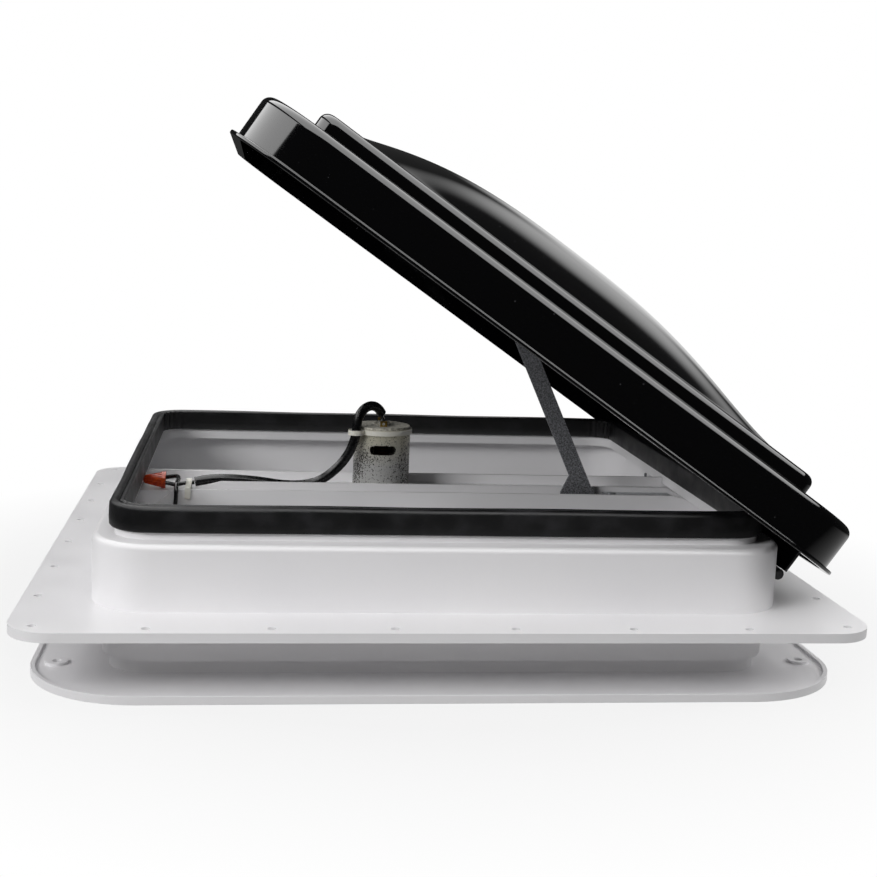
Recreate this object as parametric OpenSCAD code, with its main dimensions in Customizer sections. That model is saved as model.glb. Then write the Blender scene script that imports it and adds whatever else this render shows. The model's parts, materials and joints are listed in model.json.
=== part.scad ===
// Caravan roof vent with a tilt-up lid, a worm-driven lift arm and a 12 volt fan.
// Millimetres, +Z up. The origin is the centre of the trim ring's underside.
// The lid hinges on the +X side and is drawn open, as far as the lift arm takes it.

/* [Roof flange] */
// Width of the square flange that lies on the roof
flange_w = 440; // [430:1:470]
// Thickness of the flange
flange_t = 5; // [3:0.5:8]
// Corner radius of the flange
flange_r = 22; // [14:1:30]
// Diameter of the roof screw holes
hole_d = 4.5; // [3.5:0.1:6]
// Distance of the screw holes from the flange edge
hole_inset = 8; // [6:0.5:12]
// Distance between neighbouring screw holes along a side
hole_pitch = 61; // [50:1:64]
// Screw holes along each side, without the corner holes
side_holes = 6; // [2:2:6]
// Distance between the trim ring and the flange, which is the roof's thickness
roof_gap = 28.5; // [25:0.5:34]

/* [Frame walls] */
// Outside width of the upstand wall
wall_w = 369; // [360:1:376]
// Thickness of the upstand wall
wall_t = 3; // [2:0.25:4]
// Height of the wall's shoulder above the flange
wall_h = 35; // [32:0.5:40]
// Outside corner radius of the wall
wall_r = 31; // [28:1:36]
// Radius of the rounded shoulder
shoulder_r = 3.5; // [1.5:0.25:4]
// Outside width of the rim that carries the seal
rim_w = 346; // [340:1:350]
// Thickness of the rim
rim_t = 3; // [2:0.25:4]
// Height of the rim above the flange
rim_h = 50; // [46:0.5:56]
// Outside width of the neck that drops into the roof opening
neck_w = 358; // [350:1:361]
// Thickness of the neck
neck_t = 3; // [2:0.25:4]
// Depth of the neck below the flange
neck_h = 22.5; // [18:0.5:26]

/* [Rim seal] */
// Thickness of each leg of the seal
seal_leg = 3; // [2:0.25:3.5]
// Thickness of the seal over the top of the rim
seal_cap = 3; // [2:0.25:5]
// Height of the seal
seal_h = 14; // [10:0.5:15]
// Radius of the groove along the top of the seal
seal_groove = 0.9; // [0.5:0.1:1.2]

/* [Lid] */
// Width of the lid across its bottom lip, along the hinge
lid_w = 388; // [386:1:396]
// How much further the skirt reaches on the hinge side
lid_over = 13; // [10:0.5:16]
// How much further the second step reaches on the hinge side
tier_over = 8; // [4:0.5:10]
// How far the lip stands out from the skirt
lip_w = 4; // [2:0.5:6]
// Thickness of the lip
lip_t = 2; // [1.5:0.25:3]
// Wall thickness of the lid
lid_t = 2.5; // [2:0.25:3]
// Corner radius of the lid's skirt
lid_r = 38; // [34:1:44]
// Height of the skirt up to the first step
tier_h = 27; // [24:0.5:32]
// Distance from the skirt to the second step
tier_inset = 28; // [24:1:30]
// Height of the second step
step_h = 11; // [8:0.5:14]
// Radius of the rounded upper edges
lid_edge_r = 5; // [3:0.25:6]
// Flat border between the second step and the dome
dome_border = 11; // [8:1:24]
// Height of the dome above the second step
dome_h = 31.5; // [26:0.5:36]
// How full the dome is, from 2, round, upwards
dome_power = 2.8; // [2.2:0.1:4]
// How far the lid is open as drawn, in degrees
lid_open = 34.2; // [20:0.1:36]
// Clearance of the shut lid over the seal
lid_gap = 1.2; // [0.6:0.1:2]
// How far the shut lid sits towards the hinge
lid_shift = 2.2; // [1:0.1:2.4]

/* [Hinge] */
// Length of the hinge
hinge_len = 306; // [280:1:312]
// Knuckles along the hinge, an odd number
knuckles = 9; // [5:2:13]
// Outside radius of the knuckles
knuckle_r = 3.2; // [2.6:0.1:3.4]
// Radius of the hinge pin
hinge_pin_r = 1.6; // [1.2:0.1:1.9]
// Thickness of the hinge leaves
leaf_t = 1.5; // [1:0.1:1.6]
// Height of the hinge axis above the flange
hinge_h = 14; // [11:0.5:18]
// Distance of the two hinge screws from the middle
hinge_screw_y = 68; // [50:1:100]

/* [Cross bar] */
// Height of the bar's underside above the flange
bar_lift = 16; // [15:0.5:18]
// Thickness of the bar's floor and deck
bar_t = 3; // [2:0.25:4]
// Thickness of the bar's walls
bar_wall = 2.4; // [1.8:0.2:3]
// Height of the front wall above the flange
bar_front_h = 34; // [32:0.5:36]
// Height of the middle and rear walls above the flange
bar_rear_h = 36; // [34:0.5:38]
// Height of the deck above the flange
deck_h = 30; // [29:0.5:31]
// Width of the slot that the lift arm folds into
slot_w = 13.5; // [13.4:0.1:16]
// Distance from the middle at which the front wall starts to slope down
front_end = 149; // [140:1:156]
// Distance from the middle at which the middle wall starts to slope down
middle_end = 121.5; // [110:0.5:130]
// Length of the front wall's slope
front_slope = 14; // [10:1:20]
// Length of the middle wall's slope
middle_slope = 22; // [15:1:30]
// Length of the slope at the other end of both walls
end_slope = 8; // [4:0.5:12]

/* [Lift arm] */
// Distance from the arm's pivot to its slider pin
arm_len = 143; // [138:1:148]
// Width of the arm
arm_w = 10.2; // [9:0.2:11]
// Thickness of the arm
arm_t = 2.2; // [1.6:0.1:2.6]
// How far the arm's blade is set off from its pivot
arm_offset = 6.3; // [5.5:0.1:7]
// Distance of the pivot from the middle of the frame
pivot_x = 104; // [100:0.5:108]
// Height of the pivot above the flange
pivot_h = 24; // [23:0.5:25]
// Height of the slider pin above the lip of the lid
track_h = 24; // [23:0.5:25]
// Radius of the pivot pin
pivot_r = 2.5; // [2:0.1:3]
// Radius of the slider pin
slider_r = 3; // [2:0.1:3.2]

/* [Worm drive] */
// Module of the teeth
tooth_m = 1; // [0.8:0.05:1.05]
// Teeth of the full gear that the sector is cut from
gear_teeth = 30; // [28:1:31]
// Pitch radius of the worm
worm_r = 5.2; // [5:0.1:5.3]
// Play between the teeth
backlash = 0.5; // [0.3:0.05:0.6]
// Radius of the worm's shaft
crank_shaft_r = 2.5; // [2:0.1:2.8]
// Diameter of the crank knob
knob_d = 44; // [30:1:60]
// Height of the crank knob
knob_h = 17; // [12:0.5:18]

/* [Motor and fan] */
// Distance of the motor from the middle of the frame
motor_x = -21; // [-24:0.5:-18]
// Diameter of the motor
motor_d = 35.8; // [34:0.1:36]
// Height of the motor's can
can_h = 50; // [46:0.5:54]
// Thickness of the can
can_t = 1.2; // [0.8:0.1:1.6]
// Height of the motor's end cap
cap_h = 3.5; // [3:0.25:5]
// Radius of the motor shaft
shaft_r = 1.6; // [1.2:0.05:2]
// Diameter of the fan
fan_d = 152; // [120:1:180]
// Number of fan blades
blades = 5; // [3:1:6]
// Pitch of the blades in degrees
blade_pitch = 15; // [8:1:16]
// Thickness of a blade
blade_t = 1.6; // [1.2:0.1:2.2]

/* [Wiring] */
// Diameter of the sleeve over the motor leads
sleeve_d = 6; // [5.4:0.1:6.2]
// Diameter of the single wires
wire_d = 2.5; // [2:0.1:2.8]

/* [Trim ring] */
// Width of the square trim ring
ring_w = 430; // [420:1:436]
// Corner radius of the trim ring
ring_r = 58; // [50:1:62]
// Thickness of the trim ring
ring_t = 3; // [2:0.25:4]
// Height of the lip round the trim ring
ring_lip_h = 4.5; // [4:0.25:6]
// Width of the lip round the trim ring
ring_lip_w = 2.5; // [1.5:0.25:4]
// Gap between the collar and the screen's frame when the ring is fully in
collar_gap = 0.3; // [0.2:0.1:2]
// Thickness of the collar
collar_t = 2.5; // [2:0.25:3]
// Distance of the ring screws from its side edges
ring_screw_inset = 13; // [9:0.5:14]
// Distance of the ring screws from the middle, along the sides
ring_screw_y = 158; // [120:1:160]

/* [Screen and switch] */
// Width of the border of the insect screen
screen_border = 14; // [12:0.5:18]
// Thickness of the screen's frame
screen_t = 4; // [3:0.25:5]
// Gaps of the screen along each side
screen_gaps = 16; // [8:1:17]
// Thickness of the screen's wires
screen_wire = 1; // [0.8:0.1:1.4]
// Length of the switch's rocker
rocker_len = 15; // [12:0.5:16]
// Angle through which the rocker tips
rocker_tip = 16; // [10:1:20]

/* [Hidden] */
$fn = 64;

// Overlap that makes cuts and joins clean
eps = 1;
// Running clearance of a pin in its hole
run = 0.05;
// Clearance between pieces that lie against each other
fit = 0.1;
// Clearance between pieces that move past each other
clear = 0.4;

// Screws that hold the pieces together
screw_r = 1.7;
screw_head_r = 3.4;
screw_head_h = 2.2;

// Levels
flange_under = ring_lip_h + roof_gap;
flange_top = flange_under + flange_t;
wall_top = flange_top + wall_h;
rim_top = flange_top + rim_h;
neck_bottom = flange_under - neck_h;
seal_top = rim_top + seal_cap;
bar_z = flange_top + bar_lift;
floor_z = bar_z + bar_t;
front_z = flange_top + bar_front_h;
rear_z = flange_top + bar_rear_h;
deck_z = flange_top + deck_h;

// Half widths and the shared centres of the frame's corner arcs
wall_half = wall_w / 2;
rim_half = rim_w / 2;
rim_in = rim_half - rim_t;
shelf_z = wall_top - wall_t;
neck_half = neck_w / 2;
neck_in = neck_half - neck_t;
corner_c = wall_half - wall_r;
frame_c = [corner_c, corner_c];
wall_in = wall_half - wall_t;

// Lid
skirt_half = lid_w / 2 - lip_w;
skirt_right = skirt_half + lid_over;
skirt = [skirt_half + lid_over / 2, skirt_half];
lid_c = skirt - [lid_r, lid_r];
tier_half = skirt_half - tier_inset;
tier = [tier_half + tier_over / 2, tier_half];
tier_r = lid_r - tier_inset;
tier_c = tier - [tier_r, tier_r];
tier_z = tier_h + step_h;
dome = tier - [dome_border, dome_border];
lid_z = seal_top + lid_gap - (tier_h - lid_t);
hinge_x = wall_half + leaf_t + knuckle_r - fit * 5;
hinge_z = flange_top + hinge_h;
knuckle_len = hinge_len / knuckles;
hinge_screw_z = wall_top - shoulder_r - screw_head_r - fit;

// Slot of the lift arm, between the front wall and the middle wall
motor_r = motor_d / 2;
cup_r = motor_r + fit * 2;
cup_bite = 0.6;
slot_far = -(cup_r - cup_bite + bar_wall);
slot_near = slot_far - slot_w;
slot_y = (slot_far + slot_near) / 2;
front_y = slot_near - bar_wall;
rear_y = -slot_far;
bar_half = wall_in - fit;

// Linkage of hinge, arm and track, solved for the drawn position
pivot_z = flange_top + pivot_h;
track_lever = lid_z + track_h - hinge_z;
arm_reach_x = hinge_x - pivot_x;
arm_drop = hinge_z - pivot_z;
function arm_angle(open) =
    open + asin((track_lever + arm_reach_x * sin(open) + arm_drop * cos(open)) / arm_len);
arm_skew = asin(arm_offset / arm_len);
pivot_clip_r = pivot_r + 2;
pivot_clip_t = 0.7;
pin_bite = 1.4;
groove_d = 0.5;
clip_mouth = 1.4;
blade_len = arm_len * cos(arm_skew);
arm_open = arm_angle(lid_open) - arm_skew;
arm_shut = arm_angle(0) - arm_skew;
// Place of the slider pin along the lid, from the middle of the lid
function slider_x(open) =
    (pivot_x - arm_len * cos(arm_angle(open)) - hinge_x) * cos(open)
    - (pivot_z + arm_len * sin(arm_angle(open)) - hinge_z) * sin(open) + hinge_x - lid_shift;

// Worm drive
gear_r = tooth_m * gear_teeth / 2;
worm_x = pivot_x + gear_r + worm_r;
worm_lead = PI * tooth_m;
worm_out = worm_r + tooth_m;
worm_core = worm_r - 1.2 * tooth_m;
tooth_half = worm_lead / 4 - backlash / 2;
tooth_slope = tan(20);
worm_turns = 2.8;
bearing_drop = 8;

// Screen, knob and switch levels
seat_h = 14;
screen_play = 2;
knob_gap = 9;
screen_top = bar_z - seat_h;
screen_z = screen_top - screen_t;
screen_half = neck_in - screen_play;
screen_in = screen_half - screen_border;
screen_hem = 5;
knob_top = screen_z - knob_gap;

// Seats of the bar and the screws through them
seat_len = 22;
seat_w = 24;
seat_set = 8;
seat_screw_set = 13;
seat_screw_dy = 6;
seat_x = bar_half - seat_len;
seat_ys = [slot_y, rear_y - seat_set];
seat_screw_x = bar_half - seat_screw_set;
pocket_h = 5;
pilot_h = 9;
bite_h = 3;
hinge_boss_r = 4.5;
bracket_screw_x = 16;
bracket_screw_pitch = 14;

// Motor levels
motor_z = floor_z;
can_top = motor_z + can_h;
cap_top = can_top + cap_h;
motor_screw_c = 12.5;
brush_drop = 12.3;
tab_y = 9;
can_boss_h = 2;
fan_gap = 1;
fan_top = bar_z - screw_head_h - fan_gap;
fan_h = 11;
hub_r = 12;

// Switch, beside the bar's front wall at its free end
switch_off = 16;
switch_pos = [-149, front_y - switch_off];
switch_w = 12.8;
rocker_w = 8.6;
rocker_r = rocker_len / 2;
switch_edge = 2.2;
switch_len = rocker_len + 2 * switch_edge;
bezel_w = 1.6;
rocker_room = 0.8;
rocker_well = 8;
rocker_z = 0.6;
rocker_pin_r = 1;
rocker_pin_bite = 1.3;
tab_w = 4.4;
tab_t = 0.8;
bezel_t = 2;
switch_h = 12;
switch_plate = [26, 34];

// Routes of the wiring, chosen by hand
sleeve_route = [[-137.5, -14, 72.6], [-130, -14, 74], [-121, -14, 74.7], [-110, -14, 74.4],
    [-98, -14, 73.4], [-84, -14, 71.6], [-72, -14, 71.6], [-62, -14, 74], [-54.1, -14, 78.9],
    [-47, -14.3, 86], [-42.1, -14.3, 93.6], [-39.4, -13.8, 100.7], [-38.4, -13.3, 105.3],
    [-38.1, -12.9, 109], [-37.6, -12.3, 112.7], [-36.1, -11.1, 116.5], [-33.6, -9.3, 119.5],
    [-30.4, -6.9, 121.1], [-27, -4.1, 120.9], [-23.9, -1.6, 118.9], [-21.6, 0.2, 115.7]];
motor_wire_route = [[-21, 0.95, 113.9], [-21, 3.2, 113.6], [-21, 5.4, 113.1], [-21, 6.9, 112.2],
    [-21, 7.4, 111.2]];
motor_lead_route = [[-137.9, -14, 72.2], [-141, -14, 72], [-144.5, -14, 71.5], [-149.4, -14, 70.6],
    [-153.4, -14, 71.3], [-157, -14, 71.8]];
switch_route = [[-157, -14, 74.9], [-154.4, -14, 75.2], [-151.4, -15.2, 76], [-149.1, -17.4, 76.6],
    [-147.6, -20.6, 76.7], [-147, -24.8, 76.3], [-147.4, -28.9, 75.6], [-147.8, -33.1, 75.1],
    [-147.8, -35.9, 74.3], [-147.8, -37.9, 72.3], [-147.8, -38.6, 69.6], [-148, -38.8, 65],
    [-148.3, -39.4, 60.4], [-148.6, -41.6, 56.5], [-148.8, -45.6, 53.8], [-149, -51.2, 52.9]];
motor_wire_d = 1.6;
tie_at = 12;
clip_at = 1;
connector_tip = [-168.9, -14, 73.9];
connector_mouth = [-155.4, -14, 73.4];

// Ring of a profile round a rectangle whose corner arcs have their centres at (c.x, c.y)
module ring_sweep(c) {
    for (i = [0:3]) let (half = i % 2 == 0 ? c : [c.y, c.x]) rotate(90 * i) {
        translate([half.x, half.y, 0]) rotate_extrude(angle = 90) children();
        translate([half.x, half.y, 0]) rotate([90, 0, 0]) linear_extrude(2 * half.y) children();
    }
}

// Rectangle of half sizes with round corners
module rounded_rect(half, r) {
    square(2 * [half.x, half.y - r], center = true);
    square(2 * [half.x - r, half.y], center = true);
    for (x = [-1, 1], y = [-1, 1]) translate([x * (half.x - r), y * (half.y - r)]) circle(r);
}

// Square of width w with round corners
module rounded_square(w, r) { rounded_rect([w, w] / 2, r); }

// Profile piece between two corners
module bar2d(p, q) { translate(p) square(q - p); }

// Cutter that rounds an outer top corner of a profile at point p
module round_top(p, r) {
    translate(p - [r, r]) difference() {
        square(r + eps);
        circle(r);
    }
}

// Block between two corners
module block(p, q) { translate(p) cube(q - p); }

// Cylinder along X or along Y from a start point
module rod_x(p, r, h) { translate(p) rotate([0, 90, 0]) cylinder(r = r, h = h); }
module rod_y(p, r, h) { translate(p) rotate([-90, 0, 0]) cylinder(r = r, h = h); }

// Pan head screw with its head at z = 0 and below, shank upwards
module screw_up(len, r = screw_r) {
    cylinder(r = r, h = len);
    translate([0, 0, -screw_head_h]) cylinder(r = screw_head_r, h = screw_head_h);
}

// Smooth curve through route points, with steps points to each span
function curve_at(a, b, c, d, t) = 0.5 * (2 * b + (c - a) * t + (2 * a - 5 * b + 4 * c - d) * t * t
    + (3 * b - a - 3 * c + d) * t * t * t);
function curve(pts, steps) = let (n = len(pts)) concat(
    [for (i = [0:n - 2], s = [0:steps - 1]) curve_at(pts[max(i - 1, 0)], pts[i], pts[i + 1],
        pts[min(i + 2, n - 1)], s / steps)], [pts[n - 1]]);
function unit(v) = v / norm(v);
function across(v, t) = unit(v - (v * t) * t);

// Round tube along a curve
module tube(path, d, sides = 8) {
    n = len(path);
    tangents = [for (i = [0:n - 1]) unit(path[min(i + 1, n - 1)] - path[max(i - 1, 0)])];
    normals = [for (i = 0, v = across([0.1, 1, 0.3], tangents[0]); i < n;
        i = i + 1, v = i < n ? across(v, tangents[i]) : v) v];
    points = [for (i = [0:n - 1], k = [0:sides - 1]) let (a = 360 * k / sides)
        path[i] + d / 2 * (cos(a) * normals[i] + sin(a) * cross(tangents[i], normals[i]))];
    skin = [for (i = [0:n - 2], k = [0:sides - 1]) let (a = i * sides, b = a + sides, m = (k + 1) % sides)
        each [[a + k, b + k, b + m], [a + k, b + m, a + m]]];
    caps = [[for (k = [0:sides - 1]) k], [for (k = [sides - 1:-1:0]) (n - 1) * sides + k]];
    polyhedron(points, concat(skin, caps));
}

// Frame: flange, upstand wall with its set-in rim, and neck
module frame_profile() {
    wall_u = wall_half - corner_c;
    rim_u = rim_half - corner_c;
    neck_u = neck_half - corner_c;
    difference() {
        union() {
            bar2d([neck_u - neck_t, neck_bottom], [neck_u, flange_top]);
            bar2d([wall_u - wall_t, flange_under], [wall_u, wall_top]);
            bar2d([neck_u - neck_t, flange_under], [wall_u, flange_top]);
            bar2d([rim_u - rim_t, wall_top - wall_t], [wall_u, wall_top]);
            bar2d([rim_u - rim_t, wall_top - wall_t], [rim_u, rim_top]);
        }
        round_top([wall_u, wall_top], shoulder_r);
    }
}

module at_side_holes() {
    run_c = (side_holes - 1) / 2;
    edge = flange_w / 2 - hole_inset;
    for (a = [0, 90, 180, 270], i = [0:side_holes - 1])
        rotate(a) translate([(i - run_c) * hole_pitch, edge, 0]) children();
}

module at_flange_corners() {
    corner = flange_w / 2 - hole_inset * 1.6;
    for (x = [-1, 1], y = [-1, 1]) translate([x, y, 0] * corner) children();
}

module at_seats() {
    for (x = [-1, 1], y = seat_ys) translate([x * seat_screw_x, y, 0]) children();
}

module base_frame() {
    color("whitesmoke") difference() {
        union() {
            translate([0, 0, flange_under]) linear_extrude(flange_t) difference() {
                rounded_square(flange_w, flange_r);
                rounded_square(2 * (neck_half - fit), neck_half - fit - corner_c);
            }
            ring_sweep(frame_c) frame_profile();
            for (side = [0, 1], y = seat_ys) mirror([side, 0, 0])
                block([seat_x, y - seat_w / 2, screen_top], [wall_in + wall_t / 2, y + seat_w / 2, bar_z]);
            for (y = [-1, 1])
                rod_x([rim_half, y * hinge_screw_y, hinge_screw_z], hinge_boss_r, wall_in + eps - rim_half);
        }
        translate([0, 0, flange_under - eps]) {
            at_side_holes() cylinder(d = hole_d, h = flange_t + 2 * eps);
            at_flange_corners() cylinder(d = hole_d, h = flange_t + 2 * eps);
        }
        for (y = [-1, 1])
            rod_x([rim_half - eps, y * hinge_screw_y, hinge_screw_z], screw_r + fit, wall_w);
        at_seats() translate([0, 0, screen_top - eps]) {
            translate([0, -seat_screw_dy, 0]) cylinder(r = screw_r + fit, h = bar_lift + eps);
            translate([0, -seat_screw_dy, 0]) cylinder(r = screw_head_r + clear, h = pocket_h + eps);
            translate([0, seat_screw_dy, 0]) cylinder(r = screw_r + fit, h = pilot_h + eps);
        }
    }
}

// U-shaped seal pushed over the rim
module seal_profile() {
    out = rim_half - corner_c + seal_leg;
    in = rim_half - rim_t - corner_c - seal_leg;
    top_r = seal_leg;
    difference() {
        union() {
            bar2d([in, seal_top - seal_h], [out, seal_top - top_r]);
            bar2d([in + top_r, seal_top - seal_h], [out - top_r, seal_top]);
            for (u = [in + top_r, out - top_r]) translate([u, seal_top - top_r]) circle(top_r);
        }
        bar2d([in + seal_leg - fit, seal_top - seal_h - eps], [out - seal_leg + fit, rim_top + fit]);
        translate([in + top_r + fit, seal_top]) circle(seal_groove);
    }
}

module rim_seal() {
    color("#1c1c1e") ring_sweep(frame_c) seal_profile();
}

// Wall along the bar at y, that slopes down to the rim's shelf and, from x = -end, to the level low
module sloped_wall(y, top, end, slope, low) {
    under_rim = rim_in - clear;
    under_shelf = shelf_z - fit;
    translate([0, y + bar_wall, 0]) rotate([90, 0, 0]) linear_extrude(bar_wall)
        polygon([[-bar_half, bar_z], [bar_half, bar_z], [bar_half, under_shelf], [under_rim, under_shelf],
            [under_rim - end_slope, top], [-end, top], [-end - slope, low], [-bar_half, low]]);
}

// Cross bar: arm slot in front, deck behind it, and the cup that holds the motor
module cross_bar() {
    gear_out = gear_r + tooth_m;
    blind_y = slot_near - pin_bite;
    color("white") difference() {
        union() {
            block([-bar_half, front_y, bar_z], [bar_half, rear_y, floor_z]);
            sloped_wall(front_y, front_z, front_end, front_slope, floor_z + bar_t);
            sloped_wall(slot_far, rear_z, middle_end, middle_slope, deck_z);
            block([-bar_half, rear_y - bar_wall, bar_z], [bar_half, rear_y, rear_z]);
            block([-bar_half, slot_far, deck_z - bar_t], [bar_half, rear_y, deck_z]);
            translate([motor_x, 0, bar_z]) cylinder(r = cup_r + bar_wall - 2 * cup_bite, h = deck_z - bar_z);
            translate([worm_x, slot_y, bar_z - bearing_drop])
                cylinder(r = crank_shaft_r + bar_t, h = bearing_drop + bar_t);
            at_seats() translate([0, -seat_screw_dy, bar_z])
                cylinder(r = screw_head_r + eps, h = bar_t + pocket_h);
        }
        for (side = [0, 1]) mirror([side, 0, 0])
            block([rim_in - clear, -wall_half, shelf_z - fit], [wall_half, wall_half, rim_top]);
        rod_y([pivot_x, slot_far + bar_wall, pivot_z], pivot_clip_r + clear, pivot_clip_t + fit + clear);
        translate([motor_x, 0, floor_z]) cylinder(r = cup_r, h = rear_z);
        translate([motor_x, 0, bar_z - eps]) cylinder(r = hub_r / 2 + eps, h = bar_t + 2 * eps);
        for (x = [-1, 1]) translate([motor_x + x * motor_screw_c, 0, bar_z - eps])
            cylinder(r = screw_r + fit, h = bar_t + 2 * eps);
        block([pivot_x - gear_out - clear, slot_y - 2 * arm_t, bar_z - eps],
            [pivot_x + gear_out - eps / 5, slot_y + 2 * arm_t, floor_z + eps]);
        translate([worm_x, slot_y, 0]) cylinder(r = crank_shaft_r + run, h = rear_z);
        rod_y([pivot_x, blind_y, pivot_z], pivot_r + run, slot_far + bar_wall - blind_y + eps);
        at_seats() translate([0, -seat_screw_dy, bar_z - eps])
            cylinder(r = screw_r + fit, h = bar_t + bite_h + 2 * eps);
        at_bracket_screws() translate([0, 0, bar_z - eps]) cylinder(r = screw_r + fit, h = bar_t + 2 * eps);
    }
}

module at_bracket_screws() {
    for (x = [0, 1]) translate([worm_x + bracket_screw_x + x * bracket_screw_pitch, slot_y, 0]) children();
}

module bar_screws() {
    color("silver") at_seats() translate([0, -seat_screw_dy, screen_top + pocket_h])
        screw_up(seat_h - pocket_h + bar_t + bite_h);
}

// Places of the hinge knuckles, the base's or the lid's
module at_knuckles(first) {
    for (i = [first:2:knuckles - 1])
        translate([0, -hinge_len / 2 + i * knuckle_len + clear / 2, 0]) children();
}

module knuckle() {
    rod_y([0, 0, 0], knuckle_r, knuckle_len - clear);
}

module hinge_bore() {
    rod_y([0, -hinge_len, 0], hinge_pin_r + run, 2 * hinge_len);
}

module hinge_base_leaf() {
    leaf_bottom = hinge_z - knuckle_r;
    leaf_top = wall_top - shoulder_r;
    color("#202022") difference() {
        union() {
            difference() {
                block([wall_half, -hinge_len / 2, leaf_bottom],
                    [wall_half + leaf_t, hinge_len / 2, leaf_top]);
                translate([hinge_x, 0, hinge_z]) at_knuckles(1)
                    rod_y([0, -clear, 0], knuckle_r + clear, knuckle_len + clear);
            }
            translate([hinge_x, 0, hinge_z]) at_knuckles(0) knuckle();
        }
        translate([hinge_x, 0, hinge_z]) hinge_bore();
        for (y = [-1, 1])
            rod_x([wall_half - eps, y * hinge_screw_y, hinge_screw_z], screw_r + fit, leaf_t + 2 * eps);
    }
}

module hinge_pin() {
    head = hinge_pin_r + leaf_t / 2;
    color("#232325") translate([hinge_x, 0, hinge_z]) {
        rod_y([0, -hinge_len / 2, 0], hinge_pin_r, hinge_len);
        for (y = [-hinge_len / 2 - eps, hinge_len / 2]) rod_y([0, y, 0], head, eps);
    }
}

module hinge_screws() {
    color("silver") for (y = [-1, 1]) translate([wall_half + leaf_t, y * hinge_screw_y, hinge_screw_z])
        rotate([0, -90, 0]) screw_up(wall_half + leaf_t - rim_half + eps);
}

// The lid's own frame: middle of the lip's underside, as the lid lies when shut
module lid_pose() {
    translate([hinge_x, 0, hinge_z]) rotate([0, lid_open, 0])
        translate([lid_shift - hinge_x, 0, lid_z - hinge_z]) children();
}

lid_axis = [hinge_x - lid_shift, 0, hinge_z - lid_z];
lid_leaf_x = lid_axis.x + knuckle_r - fit - leaf_t;
lid_leaf_top = tier_h - lid_t - fit;
lid_leaf_end = skirt_right - 2 * lid_t;
rivet_x = (lid_leaf_x + leaf_t + lid_leaf_end) / 2;
rivet_ys = [-130, -45, 45, 130];
rivet_r = 1.7;

// Angle that rises from the knuckles and is riveted under the lid's first step
module hinge_lid_leaf() {
    color("#202022") lid_pose() difference() {
        union() {
            block([lid_leaf_x, -hinge_len / 2, lid_axis.z + knuckle_r + clear],
                [lid_leaf_x + leaf_t, hinge_len / 2, lid_leaf_top]);
            block([lid_leaf_x, -hinge_len / 2, lid_leaf_top - leaf_t],
                [lid_leaf_end, hinge_len / 2, lid_leaf_top]);
            translate(lid_axis) at_knuckles(1) {
                knuckle();
                block([knuckle_r - fit - leaf_t, 0, 0],
                    [knuckle_r - fit, knuckle_len - clear, knuckle_r + 2 * clear]);
            }
        }
        translate(lid_axis) hinge_bore();
        at_rivets() translate([0, 0, lid_leaf_top - leaf_t - eps])
            cylinder(r = rivet_r + fit, h = leaf_t + 2 * eps);
    }
}

module at_rivets() {
    for (y = rivet_ys) translate([rivet_x, y, 0]) children();
}

module lid_rivets() {
    head_r = 2 * rivet_r;
    head_h = 1;
    low = lid_leaf_top - leaf_t;
    color("#2a2a2c") lid_pose() at_rivets() {
        translate([0, 0, low - head_h]) cylinder(r = rivet_r, h = tier_h - low + 2 * head_h);
        translate([0, 0, low - head_h]) cylinder(r = head_r, h = head_h);
        translate([0, 0, tier_h]) cylinder(r = head_r, h = head_h);
    }
}

// Lid: lip, skirt, two steps and a crowned dome, all of one wall
module skirt_profile() {
    difference() {
        union() {
            bar2d([lid_r - lid_t, 0], [lid_r + lip_w, lip_t]);
            bar2d([lid_r - lid_t, 0], [lid_r, tier_h]);
            bar2d([lid_r - lid_edge_r - lid_t, tier_h - lid_t], [lid_r, tier_h]);
        }
        round_top([lid_r, tier_h], lid_edge_r);
    }
}

module step_profile() {
    difference() {
        union() {
            bar2d([tier_r - lid_t, tier_h - lid_t], [tier_r, tier_z]);
            bar2d([0, tier_z - lid_t], [tier_r, tier_z]);
        }
        round_top([tier_r, tier_z], lid_edge_r);
    }
}

function fall(t) = 1 - pow(abs(t), dome_power);
function dome_rise(p) = fall(p.x / dome.x) * fall(p.y / dome.y);

// Crowned sheet of one wall that fills the opening in the second step's top
module dome_sheet(n) {
    spots = [for (i = [0:n], j = [0:n]) [dome.x * (2 * i / n - 1), dome.y * (2 * j / n - 1)]];
    count = (n + 1) * (n + 1);
    upper = [for (p = spots) [p.x, p.y, tier_z + dome_h * dome_rise(p)]];
    lower = [for (p = upper) p - [0, 0, lid_t]];
    function at(i, j) = i * (n + 1) + j;
    skin = [for (i = [0:n - 1], j = [0:n - 1]) each [
        [at(i, j), at(i, j + 1), at(i + 1, j + 1)], [at(i, j), at(i + 1, j + 1), at(i + 1, j)]]];
    under = [for (f = skin) [f[0] + count, f[2] + count, f[1] + count]];
    rim = concat([for (j = [0:n]) at(0, j)], [for (i = [1:n]) at(i, n)],
        [for (j = [n - 1:-1:0]) at(n, j)], [for (i = [n - 1:-1:1]) at(i, 0)]);
    m = len(rim);
    side = [for (k = [0:m - 1]) let (b = rim[(k + 1) % m])
        each [[rim[k], rim[k] + count, b + count], [rim[k], b + count, b]]];
    polyhedron(concat(upper, lower), concat(skin, under, side));
}

track_y = slot_y - arm_t / 2 - clear - leaf_t;
track_margin = 6;
track_end = tier_half - lid_t - track_margin;
track_ends = [-track_end, track_end + tier_over];
track_drop = 4.5;
track_bite = 3.5;
track_top = tier_z - lid_t - track_drop;
track_flange = 16;
track_screw_y = track_y + leaf_t - track_flange / 2;

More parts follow.
